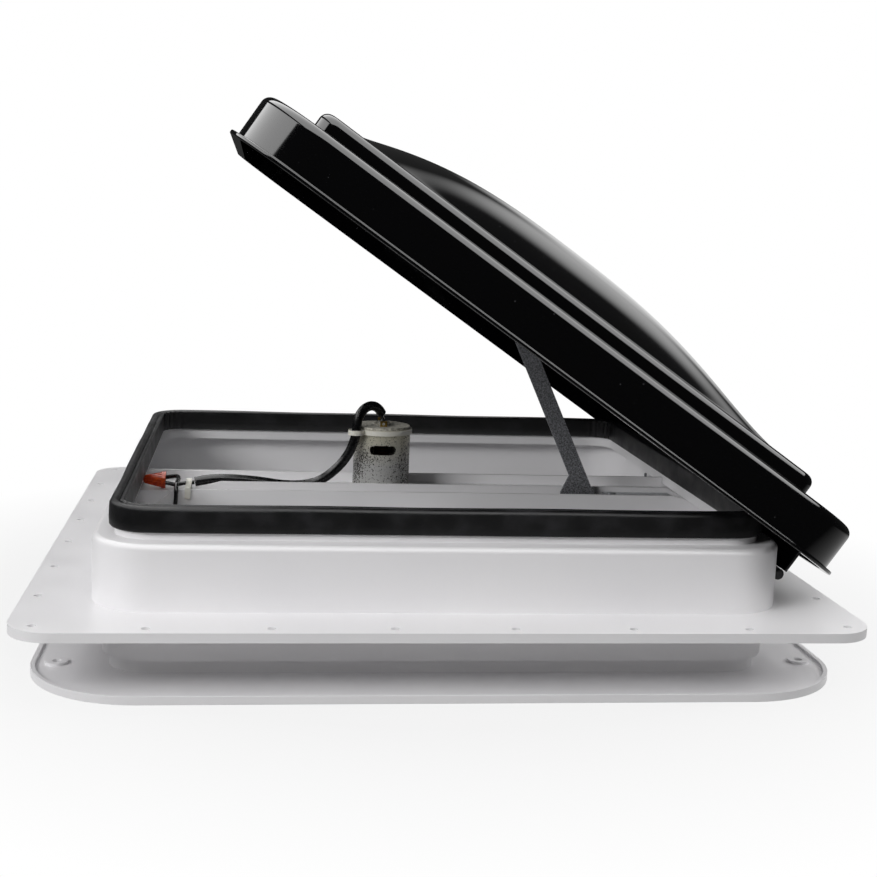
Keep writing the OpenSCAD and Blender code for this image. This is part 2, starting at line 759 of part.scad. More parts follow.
module lid_shell() {
    plate_in = lid_edge_r + lid_t / 2;
    color("#141416") lid_pose() difference() {
        union() {
            translate([lid_over / 2, 0, 0]) ring_sweep(lid_c) skirt_profile();
            translate([0, 0, tier_h - lid_t]) linear_extrude(lid_t) difference() {
                translate([lid_over / 2, 0]) rounded_rect(skirt - [plate_in, plate_in], lid_r - plate_in);
                translate([tier_over / 2, 0]) rounded_rect(tier - [lid_t, lid_t], tier_r - lid_t);
            }
            translate([tier_over / 2, 0, 0]) {
                ring_sweep(tier_c) step_profile();
                translate([0, 0, tier_z - lid_t]) linear_extrude(lid_t) difference() {
                    square(2 * tier_c, center = true);
                    square(2 * dome, center = true);
                }
                dome_sheet(20);
            }
            for (x = track_ends) translate([x, track_screw_y, track_top])
                cylinder(r = screw_head_r + eps, h = tier_z - lid_t / 2 - track_top);
        }
        at_rivets() translate([0, 0, tier_h - lid_t - eps]) cylinder(r = rivet_r + fit, h = lid_t + 2 * eps);
        for (x = track_ends) translate([x, track_screw_y, track_top - eps])
            cylinder(r = screw_r + fit, h = track_bite + clear + eps);
    }
}

// Steel track across the lid, with the slot that the arm's pin slides in
module lid_track() {
    lug = 5;
    stiffener_h = 5;
    ends = [track_ends[0] - lug, track_ends[1] + lug];
    rear_edge = track_y + leaf_t - track_flange;
    slot_half = slider_r + 1.5 * clear;
    x_shut = slider_x(0);
    x_open = slider_x(lid_open);
    web = 9;
    color("#8d9196") lid_pose() difference() {
        union() {
            block([ends[0], rear_edge, track_top - leaf_t], [ends[1], track_y + leaf_t, track_top]);
            block([ends[0] + web, rear_edge, track_top - stiffener_h],
                [ends[1] - web, rear_edge + leaf_t, track_top]);
            block([x_shut - web, track_y, track_h - web], [x_open + web, track_y + leaf_t, track_top]);
        }
        for (x = [x_shut - clear, x_open + clear])
            rod_y([x, track_y - eps, track_h], slot_half, leaf_t + 2 * eps);
        block([x_shut - clear, track_y - eps, track_h - slot_half],
            [x_open + clear, track_y + leaf_t + eps, track_h + slot_half]);
        for (x = track_ends) translate([x, track_screw_y, 0]) cylinder(r = screw_r + fit, h = tier_z);
    }
}

module track_screws() {
    color("silver") lid_pose() for (x = track_ends)
        translate([x, track_screw_y, track_top - leaf_t]) screw_up(leaf_t + track_bite);
}

// Lift arm: blade, hub and toothed sector in one stamping, with a spacer tube on the pivot
module arm_pose() {
    translate([pivot_x, slot_y, pivot_z]) rotate([0, arm_open, 0]) children();
}

module sector_tooth() {
    root = gear_r - 1.25 * tooth_m;
    tip = gear_r + 0.9 * tooth_m;
    wide = tooth_half + (gear_r - root) * tooth_slope;
    narrow = tooth_half - (tip - gear_r) * tooth_slope;
    polygon([[root - eps, -wide], [root, -wide], [tip, -narrow], [tip, narrow], [root, wide],
        [root - eps, wide]]);
}

module arm_outline() {
    pitch_a = 360 / gear_teeth;
    first = floor((arm_shut - arm_open) / pitch_a) - 2;
    root = gear_r - 1.25 * tooth_m;
    low = arm_offset - arm_w / 2;
    circle(root);
    polygon([[-1.6 * root, low], [-1.05 * root, -0.57 * root], [-0.7 * root, -0.7 * root], [0, 0], [0, low]]);
    translate([-blade_len, low]) square([blade_len + eps, arm_w]);
    translate([-blade_len, arm_offset]) circle(arm_w / 2);
    for (i = [first:1]) rotate(arm_open + (i + 0.5) * pitch_a) sector_tooth();
}

module lift_arm() {
    tube_r = pivot_r + 2;
    color("#4b4d51") arm_pose() difference() {
        union() {
            translate([0, arm_t / 2, 0]) rotate([90, 0, 0]) linear_extrude(arm_t) arm_outline();
            rod_y([0, -slot_w / 2 + clear, 0], tube_r, slot_w - 2 * clear);
        }
        rod_y([0, -slot_w, 0], pivot_r + run, 2 * slot_w);
        rod_y([-blade_len, -slot_w, arm_offset], slider_r - 1 + fit / 2, 2 * slot_w);
    }
}

module slider_pin() {
    neck_r = slider_r - 1;
    reach = leaf_t + 2 * clear;
    color("silver") arm_pose() translate([-blade_len, 0, arm_offset]) {
        rod_y([0, -arm_t / 2, 0], neck_r, arm_t + eps);
        rod_y([0, arm_t / 2, 0], slider_r, eps);
        rod_y([0, -arm_t / 2 - reach, 0], slider_r, reach);
        rod_y([0, -arm_t / 2 - reach - eps, 0], slider_r + 2, eps);
    }
}

module pivot_pin() {
    back = slot_far + bar_wall;
    front = slot_near - pin_bite + fit;
    color("silver") difference() {
        rod_y([pivot_x, front, pivot_z], pivot_r, back + 2 * eps - front);
        difference() {
            rod_y([pivot_x, back + fit, pivot_z], pivot_r + eps, pivot_clip_t + fit);
            rod_y([pivot_x, back, pivot_z], pivot_r - groove_d, eps);
        }
    }
}

module pivot_clip() {
    back = slot_far + bar_wall + fit;
    color("#6c6f74") difference() {
        rod_y([pivot_x, back, pivot_z], pivot_clip_r, pivot_clip_t);
        rod_y([pivot_x, back - eps, pivot_z], pivot_r - groove_d + run, pivot_clip_t + 2 * eps);
        block([pivot_x - clip_mouth, back - eps, pivot_z - pivot_clip_r - eps],
            [pivot_x + clip_mouth, back + pivot_clip_t + eps, pivot_z]);
    }
}

// Steel bracket over the worm, which steadies the top of its shaft
bracket_top = front_z - 1;
bracket_x0 = worm_x - crank_shaft_r - 2;
bracket_len = 38;
bracket_x1 = worm_x + bracket_len;

module operator_bracket() {
    y0 = slot_near + fit;
    y1 = slot_far - fit;
    color("#9a9da1") difference() {
        union() {
            block([bracket_x0, y0, bracket_top - leaf_t], [bracket_x1, y1, bracket_top]);
            block([bracket_x1 - leaf_t, y0, floor_z], [bracket_x1, y1, bracket_top]);
            block([worm_x + worm_out + 2 * leaf_t, y0, floor_z], [bracket_x1, y1, floor_z + leaf_t]);
        }
        translate([worm_x, slot_y, floor_z]) cylinder(r = crank_shaft_r + run, h = bracket_top);
        at_bracket_screws() translate([0, 0, floor_z - eps])
            cylinder(r = screw_r + fit, h = leaf_t + 2 * eps);
    }
}

module operator_screws() {
    color("silver") at_bracket_screws() translate([0, 0, bar_z]) screw_up(bar_t + leaf_t + 2 * eps);
}

// Worm: a core with one thread whose section is a rack tooth
module worm_thread() {
    per_turn = 20;
    n = ceil(worm_turns * per_turn);
    in_r = worm_core - 0.4;
    wide = tooth_half + (worm_r - in_r) * tooth_slope;
    narrow = tooth_half - tooth_m * tooth_slope;
    section = [[in_r, -wide], [worm_out, -narrow], [worm_out, narrow], [in_r, wide]];
    points = [for (i = [0:n], s = section) let (turn = (i - n / 2) / per_turn, a = 180 + 360 * turn)
        [s[0] * cos(a), s[0] * sin(a), s[1] + worm_lead * turn]];
    skin = [for (i = [0:n - 1], k = [0:3]) let (a = 4 * i, m = (k + 1) % 4)
        each [[a + k, a + m, a + m + 4], [a + k, a + m + 4, a + k + 4]]];
    polyhedron(points, concat(skin, [[3, 2, 1, 0], [for (k = [0:3]) 4 * n + k]]));
}

shaft_top = bracket_top + 1;
knob_floor = 6;
shaft_bottom = knob_top - knob_h + knob_floor;
shaft_clip_t = 0.8;
clip_z = bar_z - bearing_drop - shaft_clip_t - clear;
knob_screw_r = screw_r - clear;
knob_bite = 8;

module worm_shaft() {
    worm_half = worm_lead * worm_turns / 2 + tooth_half;
    worm_low = max(pivot_z - worm_half - 0.6, floor_z + fit);
    color("#b9bbbf") translate([worm_x, slot_y, 0]) difference() {
        union() {
            translate([0, 0, shaft_bottom]) cylinder(r = crank_shaft_r, h = shaft_top - shaft_bottom);
            translate([0, 0, worm_low]) cylinder(r = worm_core, h = 2 * worm_half + 1.2);
            intersection() {
                translate([0, 0, pivot_z]) worm_thread();
                translate([0, 0, worm_low]) cylinder(r = worm_out + eps, h = 2 * worm_half + 1.2);
            }
        }
        difference() {
            translate([0, 0, clip_z - fit]) cylinder(r = crank_shaft_r + eps, h = shaft_clip_t + 2 * fit);
            translate([0, 0, clip_z - eps])
                cylinder(r = crank_shaft_r - groove_d, h = shaft_clip_t + 2 * eps);
        }
        translate([0, 0, shaft_bottom - eps]) cylinder(r = knob_screw_r, h = knob_bite + eps);
    }
}

module shaft_clip() {
    color("#6c6f74") translate([worm_x, slot_y, clip_z]) difference() {
        cylinder(r = crank_shaft_r + 2, h = shaft_clip_t);
        translate([0, 0, -eps]) cylinder(r = crank_shaft_r - groove_d + run, h = shaft_clip_t + 2 * eps);
        block([-clip_mouth, -crank_shaft_r - 3, -eps], [clip_mouth, 0, shaft_clip_t + eps]);
    }
}

// Crank knob with finger flutes and a socket for the shaft
module crank_knob() {
    flutes = 10;
    flute_r = 4.6;
    flute_out = 2.4;
    knob_r = knob_d / 2;
    knob_wall = 6;
    knob_bevel = 3;
    socket = crank_shaft_r + 4;
    color("white") translate([worm_x, slot_y, knob_top - knob_h]) difference() {
        union() {
            translate([0, 0, knob_bevel]) cylinder(r = knob_r, h = knob_h - 2 * knob_bevel - eps);
            cylinder(r1 = knob_r - knob_bevel, r2 = knob_r, h = knob_bevel);
            cylinder(r = socket, h = knob_h);
        }
        for (i = [0:flutes - 1]) rotate(360 * i / flutes) translate([knob_r + flute_out, 0, -eps])
            cylinder(r = flute_r, h = knob_h + 2 * eps);
        translate([0, 0, knob_floor]) difference() {
            cylinder(r = knob_r - knob_wall, h = knob_h);
            translate([0, 0, -eps]) cylinder(r = socket, h = 2 * knob_h);
        }
        translate([0, 0, knob_floor - fit]) cylinder(r = crank_shaft_r + run, h = knob_h);
        translate([0, 0, -eps]) cylinder(r = screw_r + fit, h = knob_h);
        translate([0, 0, -eps]) cylinder(r = screw_head_r + clear, h = knob_bevel + eps);
    }
}

module knob_screw() {
    under = shaft_bottom - knob_floor / 2;
    color("silver") translate([worm_x, slot_y, under])
        screw_up(shaft_bottom + knob_bite - 2 * eps - under, r = knob_screw_r - run);
}

// Motor: steel can with two brush slots, moulded end cap with brass tabs
module motor_can() {
    slot_z = can_top - brush_drop;
    slot_r = 3;
    slot_c = 5.3;
    slot_shift = -0.6;
    boss_r = hub_r / 2;
    color("#b4b5b3") translate([motor_x, 0, 0]) difference() {
        union() {
            translate([0, 0, motor_z]) cylinder(r = motor_r, h = can_h);
            translate([0, 0, motor_z - can_boss_h]) cylinder(r = boss_r, h = can_boss_h + eps);
        }
        translate([0, 0, motor_z + can_t]) cylinder(r = motor_r - can_t, h = can_h);
        translate([0, 0, motor_z - can_boss_h - eps]) cylinder(r = shaft_r + run, h = can_h);
        for (x = [-1, 1]) translate([x * motor_screw_c, 0, motor_z - eps])
            cylinder(r = screw_r + fit, h = can_t + 2 * eps);
        for (turn = [0, 180]) rotate(turn) translate([slot_shift, -motor_r - eps, slot_z]) {
            for (x = [-1, 1]) rod_y([x * slot_c, 0, 0], slot_r, motor_r);
            block([-slot_c, 0, -slot_r], [slot_c, motor_r, slot_r]);
        }
    }
}

module motor_end_cap() {
    edge_h = 1.6;
    plug_h = 2;
    boss_r = hub_r / 2 - 1;
    color("#cfcdc6") translate([motor_x, 0, 0]) difference() {
        union() {
            translate([0, 0, can_top]) cylinder(r = motor_r - clear, h = edge_h);
            translate([0, 0, can_top - plug_h]) cylinder(r = motor_r - can_t - fit, h = plug_h + eps);
            translate([0, 0, can_top]) cylinder(r = boss_r, h = cap_h);
        }
        translate([0, 0, can_top - plug_h - eps]) cylinder(r = shaft_r + run, h = plug_h + cap_h - eps);
        for (y = [-1, 1]) translate([0, y * tab_y, can_top])
            block([-tab_w / 2 - fit, -tab_t / 2 - fit, 0], [tab_w / 2 + fit, tab_t / 2 + fit, cap_h]);
    }
}

module motor_terminals() {
    tab_h = 5;
    eye_r = 0.9;
    color("#c9a24a") for (y = [-1, 1]) translate([motor_x, y * tab_y, can_top + fit]) difference() {
        block([-tab_w / 2, -tab_t / 2, 0], [tab_w / 2, tab_t / 2, tab_h]);
        rod_y([0, -eps, tab_h - 2 * eye_r], eye_r, 2 * eps);
    }
}

module motor_screws() {
    color("silver") for (x = [-1, 1]) translate([motor_x + x * motor_screw_c, 0, bar_z])
        screw_up(bar_t + can_t);
}

module motor_shaft() {
    bottom = fan_top - fan_h + eps;
    color("#c4c6c9") translate([motor_x, 0, bottom]) cylinder(r = shaft_r, h = cap_top - 3 * eps - bottom);
}

module motor_armature() {
    magnet_t = 4;
    end_room = 8;
    commutator_h = 12;
    stack_h = can_h - 2 * end_room - commutator_h;
    color("#7a4a2c") translate([motor_x, 0, motor_z + can_t + end_room]) difference() {
        union() {
            cylinder(r = motor_r - can_t - magnet_t, h = stack_h);
            cylinder(r = shaft_r + magnet_t - eps, h = stack_h + commutator_h);
        }
        translate([0, 0, -eps]) cylinder(r = shaft_r + run / 2, h = can_h);
    }
}

// Fan: hub cup and cambered blades
module blade() {
    camber_r = 90;
    fan_r = fan_d / 2;
    root_w = 9;
    tip_w = 21;
    mid_z = fan_top - fan_h / 2;
    intersection() {
        translate([0, 0, fan_top - fan_h]) linear_extrude(fan_h) intersection() {
            circle(fan_r);
            polygon([[hub_r - 2, -root_w], [fan_r + eps, -tip_w], [fan_r + eps, tip_w], [hub_r - 2, root_w]]);
        }
        translate([0, 0, mid_z]) rotate([blade_pitch, 0, 0]) translate([0, 0, -camber_r]) difference() {
            rod_x([0, 0, 0], camber_r + blade_t / 2, fan_r + eps);
            rod_x([-eps, 0, 0], camber_r - blade_t / 2, fan_r + 3 * eps);
        }
    }
}

module fan_blade() {
    color("#e9e9e6") translate([motor_x, 0, 0]) difference() {
        union() {
            translate([0, 0, fan_top - fan_h]) cylinder(r = hub_r, h = fan_h);
            for (i = [0:blades - 1]) rotate(360 * i / blades) blade();
        }
        translate([0, 0, fan_top - fan_h - eps]) difference() {
            cylinder(r = hub_r - 2, h = fan_h - 3 + eps);
            cylinder(r = shaft_r + 2.4, h = fan_h);
        }
        translate([0, 0, fan_top - fan_h - eps]) cylinder(r = shaft_r + run / 2, h = fan_h + 2 * eps);
    }
}

// Nylon tie that holds the sleeve against the motor
tie_w = 3;
tie_z = can_top - tie_w - fit;
tie_sleeve = [sleeve_route[tie_at].x, sleeve_route[tie_at].y];
tie_head_a = 120;

module motor_tie() {
    tie_t = 1.1;
    head_half = 2.4;
    head_out = 4;
    head_lap = 0.7;
    sleeve_r = sleeve_d / 2 + 2.5 * clear;
    color("#e8e6de") translate([0, 0, tie_z]) {
        linear_extrude(tie_w) difference() {
            union() {
                translate([motor_x, 0]) circle(motor_r + fit + tie_t);
                translate(tie_sleeve) circle(sleeve_r + tie_t);
            }
            translate([motor_x, 0]) circle(motor_r + fit);
            translate(tie_sleeve) circle(sleeve_r);
        }
        translate([motor_x, 0, 0]) rotate(tie_head_a)
            block([motor_r + fit + tie_t / 2, -head_half, -head_lap],
                [motor_r + head_out, head_half, tie_w + head_lap]);
    }
}

module lead_sleeve() {
    color("#161617") tube(curve(sleeve_route, 3), sleeve_d, 12);
}

module motor_wires() {
    color("#1d1d1f") for (y = [0, 1]) mirror([0, y, 0]) tube(curve(motor_wire_route, 3), motor_wire_d);
}

// Nylon clip that holds the end of the sleeve on the deck and hooks over the front wall
module lead_clip() {
    lead = motor_lead_route[clip_at];
    bore = wire_d / 2 + clear;
    half = 1.7;
    strap_t = 1.2;
    hook_h = 7;
    strap_top = front_z + fit + strap_t;
    hook_y = front_y - fit;
    color("#e6e4da") translate([lead.x, 0, 0]) difference() {
        union() {
            rod_x([-half, lead.y, lead.z], bore + strap_t, 2 * half);
            block([-half, lead.y - bore, deck_z + fit], [half, lead.y + bore, lead.z]);
            block([-half, hook_y - strap_t, strap_top - strap_t], [half, lead.y, strap_top]);
            block([-half, hook_y - strap_t, strap_top - hook_h], [half, hook_y, strap_top]);
        }
        rod_x([-half - eps, lead.y, lead.z], bore, 2 * half + 2 * eps);
    }
}

// Twist-on wire connector: a ribbed cone with a short skirt
module wire_connector() {
    along = connector_mouth - connector_tip;
    length = norm(along);
    skirt = 2.5;
    tip_r = 2;
    cone_r = 4.4;
    cone_t = 1;
    ribs = 14;
    rib = [0.8, 0.7];
    taper = atan2(cone_r - tip_r, length - skirt);
    turn = [0, acos(along.z / length), atan2(along.y, along.x)];
    color("#e0551d") translate(connector_tip) rotate(turn) difference() {
        union() {
            cylinder(r1 = tip_r, r2 = cone_r, h = length - skirt);
            translate([0, 0, length - skirt]) cylinder(r = cone_r + rib.x, h = skirt);
            for (i = [0:ribs - 1]) rotate(360 * i / ribs) translate([tip_r - rib.x / 3, -rib.y / 2, rib.x])
                rotate([0, taper, 0]) cube([rib.x, rib.y, length - skirt]);
        }
        translate([0, 0, length - skirt - cone_r]) cylinder(r = cone_r - cone_t, h = 2 * cone_r);
    }
}

module motor_lead() {
    color("#141415") tube(curve(motor_lead_route, 3), wire_d);
}

module switch_wire() {
    color("#141415") tube(curve(switch_route, 3), wire_d);
}

// Rocker switch in the screen's border, with its terminals upwards
module switch_body() {
    bezel = [switch_len / 2 + bezel_w, switch_w / 2 + bezel_w];
    well = [rocker_r + rocker_room, rocker_w / 2 + clear];
    pin_half = rocker_w / 2 + rocker_pin_bite + fit;
    color("#222224") translate([switch_pos.x, switch_pos.y, screen_z]) difference() {
        union() {
            block([-bezel.x, -bezel.y, -bezel_t], [bezel.x, bezel.y, 0]);
            block([-switch_len / 2, -switch_w / 2, -bezel_t], [switch_len / 2, switch_w / 2, switch_h]);
        }
        block([-well.x, -well.y, -bezel_t - eps], [well.x, well.y, rocker_well]);
        rod_y([0, -pin_half, rocker_z], rocker_pin_r + run, 2 * pin_half);
    }
}

module switch_terminals() {
    tab_h = 6;
    tab_pitch = 5.5;
    color("#c9a24a") translate([switch_pos.x, switch_pos.y, screen_z + switch_h]) for (x = [0, tab_pitch])
        block([x - tab_w / 2, -tab_t / 2, 0], [x + tab_w / 2, tab_t / 2, tab_h]);
}

module switch_rocker() {
    tip_z = -4.4;
    dip_z = -3;
    side_z = 1.2;
    back_z = 3;
    back_half = 2;
    side_x = rocker_r - rocker_room;
    pin_half = rocker_w / 2 + rocker_pin_bite;
    place = [switch_pos.x, switch_pos.y, screen_z + rocker_z];
    color("#2c2c2e") translate(place) rotate([0, rocker_tip / 2, 0]) {
        translate([0, rocker_w / 2, 0]) rotate([90, 0, 0]) linear_extrude(rocker_w) difference() {
            polygon([[-rocker_r, tip_z], [0, dip_z], [rocker_r, tip_z], [side_x, side_z], [back_half, back_z],
                [-back_half, back_z], [-side_x, side_z]]);
            translate([0, back_z]) circle(rocker_pin_r);
        }
        rod_y([0, -pin_half, 0], rocker_pin_r, 2 * pin_half);
    }
}

// Insect screen: a frame under the bar's seats and a flat net
module screen_frame() {
    r = screen_half - corner_c;
    color("white") difference() {
        translate([0, 0, screen_z]) linear_extrude(screen_t) difference() {
            rounded_square(2 * screen_half, r);
            difference() {
                square(2 * screen_in, center = true);
                translate([-screen_in - eps, switch_pos.y - switch_plate.y / 2])
                    square([switch_pos.x + screen_in + switch_plate.x / 2 + eps, switch_plate.y]);
            }
            translate(switch_pos) square([switch_len + fit, switch_w + fit], center = true);
        }
        translate([0, 0, screen_z - eps]) linear_extrude(screen_wire + fit + eps) difference() {
            square(2 * (screen_in + screen_hem), center = true);
            square(2 * screen_in - 0.1, center = true);
        }
        at_seats() translate([0, seat_screw_dy, screen_z - eps])
            cylinder(r = screw_r + fit, h = screen_t + 2 * eps);
    }
}

module screen_mesh() {
    step = 2 * screen_in / screen_gaps;
    reach = 2 * screen_in + eps;
    shaft_room = 1.5;
    eyelet = 6;
    notch_x = -screen_in - screen_border;
    notch = [switch_pos.x + switch_plate.x / 2 + fit - notch_x, switch_plate.y + 2 * fit];
    color("#8f9194") translate([0, 0, screen_z]) linear_extrude(screen_wire) difference() {
        union() {
            difference() {
                square(2 * (screen_in + screen_hem - fit), center = true);
                square(2 * screen_in, center = true);
            }
            for (i = [1:screen_gaps - 1]) {
                translate([i * step - screen_in, 0]) square([screen_wire, reach], center = true);
                translate([0, i * step - screen_in]) square([reach, screen_wire], center = true);
            }
            translate([worm_x, slot_y]) circle(crank_shaft_r + eyelet);
        }
        translate([notch_x, switch_pos.y - notch.y / 2]) square(notch);
        translate([worm_x, slot_y]) circle(crank_shaft_r + shaft_room);
    }
}

module screen_screws() {
    color("silver") at_seats() translate([0, seat_screw_dy, screen_z]) screw_up(screen_t + pilot_h - eps);
}

module at_ring_screws() {
    edge = ring_w / 2 - ring_screw_inset;
    for (x = [-1, 1], y = [-1, 1]) translate([x * edge, y * ring_screw_y, 0]) children();
}

// Trim ring with its lip, the collar that slides in the neck, and corner screw bosses
module trim_ring() {
    collar_out = neck_in - 1.5 * clear;
    collar_u = collar_out - corner_c;
    boss_r = 6;
    color("whitesmoke") difference() {
        union() {
            linear_extrude(ring_t) difference() {
                rounded_square(ring_w, ring_r);
                rounded_square(2 * (collar_out - collar_t), collar_u - collar_t);
            }
            linear_extrude(ring_lip_h) difference() {
                rounded_square(ring_w, ring_r);
                rounded_square(ring_w - 2 * ring_lip_w, ring_r - ring_lip_w);
            }
            ring_sweep(frame_c) bar2d([collar_u - collar_t, 0], [collar_u, screen_z - collar_gap]);
            at_ring_screws() cylinder(r = boss_r, h = ring_lip_h);
        }
        at_ring_screws() translate([0, 0, -eps]) cylinder(d = hole_d, h = ring_lip_h + 2 * eps);
    }
}

base_frame();
rim_seal();
cross_bar();
bar_screws();
hinge_base_leaf();
hinge_pin();
hinge_screws();
hinge_lid_leaf();
lid_rivets();
lid_shell();
lid_track();
track_screws();
lift_arm();
slider_pin();
pivot_pin();
pivot_clip();
operator_bracket();
operator_screws();
worm_shaft();
shaft_clip();
crank_knob();
knob_screw();
motor_can();
motor_end_cap();
motor_terminals();
motor_screws();
motor_shaft();
motor_armature();
fan_blade();
motor_tie();
lead_sleeve();
motor_wires();
lead_clip();
wire_connector();
motor_lead();
switch_wire();
switch_body();
switch_terminals();
switch_rocker();
screen_frame();
screen_mesh();
screen_screws();
trim_ring();
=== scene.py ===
"""Looks of a caravan roof vent with a tilt-up lid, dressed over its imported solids.

Sizes are written in millimetres, as in the part's source, and become metres where a mesh is made.
"""

import json
import math

import bmesh
import bpy
from mathutils import Matrix, Vector


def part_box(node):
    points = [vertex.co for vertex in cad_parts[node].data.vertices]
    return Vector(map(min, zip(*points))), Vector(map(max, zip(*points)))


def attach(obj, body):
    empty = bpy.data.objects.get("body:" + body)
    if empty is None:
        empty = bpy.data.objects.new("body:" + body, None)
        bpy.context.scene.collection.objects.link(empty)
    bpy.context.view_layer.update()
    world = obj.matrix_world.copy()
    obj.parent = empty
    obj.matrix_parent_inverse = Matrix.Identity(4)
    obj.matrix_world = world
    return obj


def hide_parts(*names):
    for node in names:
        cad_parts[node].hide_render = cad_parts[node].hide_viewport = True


MM = 0.001

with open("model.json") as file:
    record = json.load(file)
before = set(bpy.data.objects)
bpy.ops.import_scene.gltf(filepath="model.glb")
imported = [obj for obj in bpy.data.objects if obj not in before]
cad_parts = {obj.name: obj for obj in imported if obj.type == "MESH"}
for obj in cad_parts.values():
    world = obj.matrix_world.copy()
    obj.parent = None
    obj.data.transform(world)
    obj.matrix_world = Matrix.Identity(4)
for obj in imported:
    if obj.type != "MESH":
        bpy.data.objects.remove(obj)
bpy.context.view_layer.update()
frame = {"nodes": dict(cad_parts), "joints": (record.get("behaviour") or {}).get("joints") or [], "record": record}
nodes = frame["nodes"]
joints = {joint["name"]: joint for joint in frame["joints"]}
scene = bpy.context.scene
scene.view_settings.view_transform = "Standard"


# Camera: its place and turn, fitted to the edges of the flange, the ring and the rim

CAMERA_PLACE = Vector((-102.72, -891.54, 243.05))
CAMERA_LENS = 58.36
CAMERA_SENSOR = 36
CAMERA_YAW = 0.1317
CAMERA_PITCH = 0.1574
CAMERA_ROLL = -0.0397


def set_up_camera():
    ahead = Vector((
        math.sin(CAMERA_YAW) * math.cos(CAMERA_PITCH),
        math.cos(CAMERA_YAW) * math.cos(CAMERA_PITCH),
        -math.sin(CAMERA_PITCH),
    ))
    level = Vector((math.cos(CAMERA_YAW), -math.sin(CAMERA_YAW), 0))
    below = ahead.cross(level)
    right = level * math.cos(CAMERA_ROLL) + below * math.sin(CAMERA_ROLL)
    down = below * math.cos(CAMERA_ROLL) - level * math.sin(CAMERA_ROLL)
    camera = bpy.data.objects.new("camera", bpy.data.cameras.new("camera"))
    camera.data.lens = CAMERA_LENS
    camera.data.sensor_width = CAMERA_SENSOR
    turn = Matrix((right, -down, -ahead)).transposed().to_4x4()
    camera.matrix_world = Matrix.Translation(CAMERA_PLACE * MM) @ turn
    scene.collection.objects.link(camera)
    scene.camera = camera


set_up_camera()


# Small tools for materials

MIX_FACTOR, MIX_A, MIX_B, MIX_RESULT = 0, 6, 7, 2


def linear(hex_colour):
    """An sRGB hex colour as linear RGBA."""
    channels = [int(hex_colour[i : i + 2], 16) / 255 for i in (1, 3, 5)]
    return [c / 12.92 if c <= 0.04045 else ((c + 0.055) / 1.055) ** 2.4 for c in channels] + [1]


def per_metre(size):
    """Texture scale at which one feature is size millimetres wide."""
    return 1 / (size * MM)


def add(tree, kind, sockets, out=0, to=None, **settings):
    """Adds a node with its settings, sets or links its sockets, and gives an output, linked on if asked."""
    node = tree.nodes.new("ShaderNode" + kind)
    for name, value in settings.items():
        setattr(node, name, value)
    for name, value in sockets.items():
        if isinstance(value, bpy.types.NodeSocket):
            tree.links.new(value, node.inputs[name])
        else:
            node.inputs[name].default_value = value
    result = node.outputs[out]
    if to is not None:
        tree.links.new(result, to)
    return result


def start_material(name, **surface):
    """A material with its constants set, its node tree, its shader's sockets and its place in metres."""
    material = bpy.data.materials.new(name)
    material.use_nodes = True
    tree = material.node_tree
    skin = tree.nodes["Principled BSDF"].inputs
    for socket, value in surface.items():
        skin[socket.replace("_", " ")].default_value = value
    return material, tree, skin, add(tree, "TexCoord", {}, out="Object")


# Materials

# The motor can's middle and the heights and half widths that its specks, their painted shade towards the foot and
# sides, and its tint run between
MOTOR_AT = -21
CAN_FOOT, CAN_FOOT_END = 66, 100
CAN_SIDE_FROM, CAN_SIDE = 9, 19
CAN_TINT_FROM, CAN_TINT_FULL = 84, 108


def moulded_white_abs():
    """White ABS, injection moulded: an even satin white, faintly clouded, with a fine grain in its shine."""
    material, tree, skin, place = start_material("moulded_white_abs", IOR=1.53)
    cloud = add(tree, "TexNoise", {"Vector": place, "Scale": per_metre(60), "Detail": 1})
    add(tree, "Mix", {MIX_FACTOR: cloud, MIX_A: linear("#E6E5E7"), MIX_B: linear("#EDECED")}, MIX_RESULT,
        skin["Base Color"], data_type="RGBA")
    handled = add(tree, "TexNoise", {"Vector": place, "Scale": per_metre(30), "Detail": 1})
    add(tree, "MapRange",
        {"Value": handled, "From Min": 0.2, "From Max": 0.8, "To Min": 0.32, "To Max": 0.42},
        to=skin["Roughness"])
    # The mould's spark grain is about 0.2 mm; it is drawn at 1.6 mm, because finer doesn't show
    grain = add(tree, "TexNoise", {"Vector": place, "Scale": per_metre(1.6), "Detail": 1})
    add(tree, "Bump", {"Height": grain, "Distance": 0.02 * MM}, to=skin["Normal"])
    return material


def moulded_black_abs():
    """Black ABS from a polished mould: a deep black mirror, slightly wavy, with faint haze and dust."""
    material, tree, skin, place = start_material("moulded_black_abs", IOR=1.54)
    # Single specks of dust of about 0.3 mm, one in each 10 mm or so
    dust = add(tree, "TexVoronoi", {"Vector": place, "Scale": per_metre(10), "Randomness": 1})
    speck = add(tree, "MapRange",
                {"Value": dust, "From Min": 0.03, "From Max": 0.05, "To Min": 0.4, "To Max": 0})
    add(tree, "Mix", {MIX_FACTOR: speck, MIX_A: linear("#040405"), MIX_B: linear("#5A5A5C")}, MIX_RESULT,
        skin["Base Color"], data_type="RGBA")
    haze = add(tree, "TexNoise", {"Vector": place, "Scale": per_metre(40), "Detail": 4})
    add(tree, "MapRange", {"Value": haze, "From Min": 0.35, "From Max": 0.7, "To Min": 0.04, "To Max": 0.09},
        to=skin["Roughness"])
    sink = add(tree, "TexNoise", {"Vector": place, "Scale": per_metre(60), "Detail": 0})
    add(tree, "Bump", {"Height": sink, "Distance": 0.08 * MM}, to=skin["Normal"])
    return material


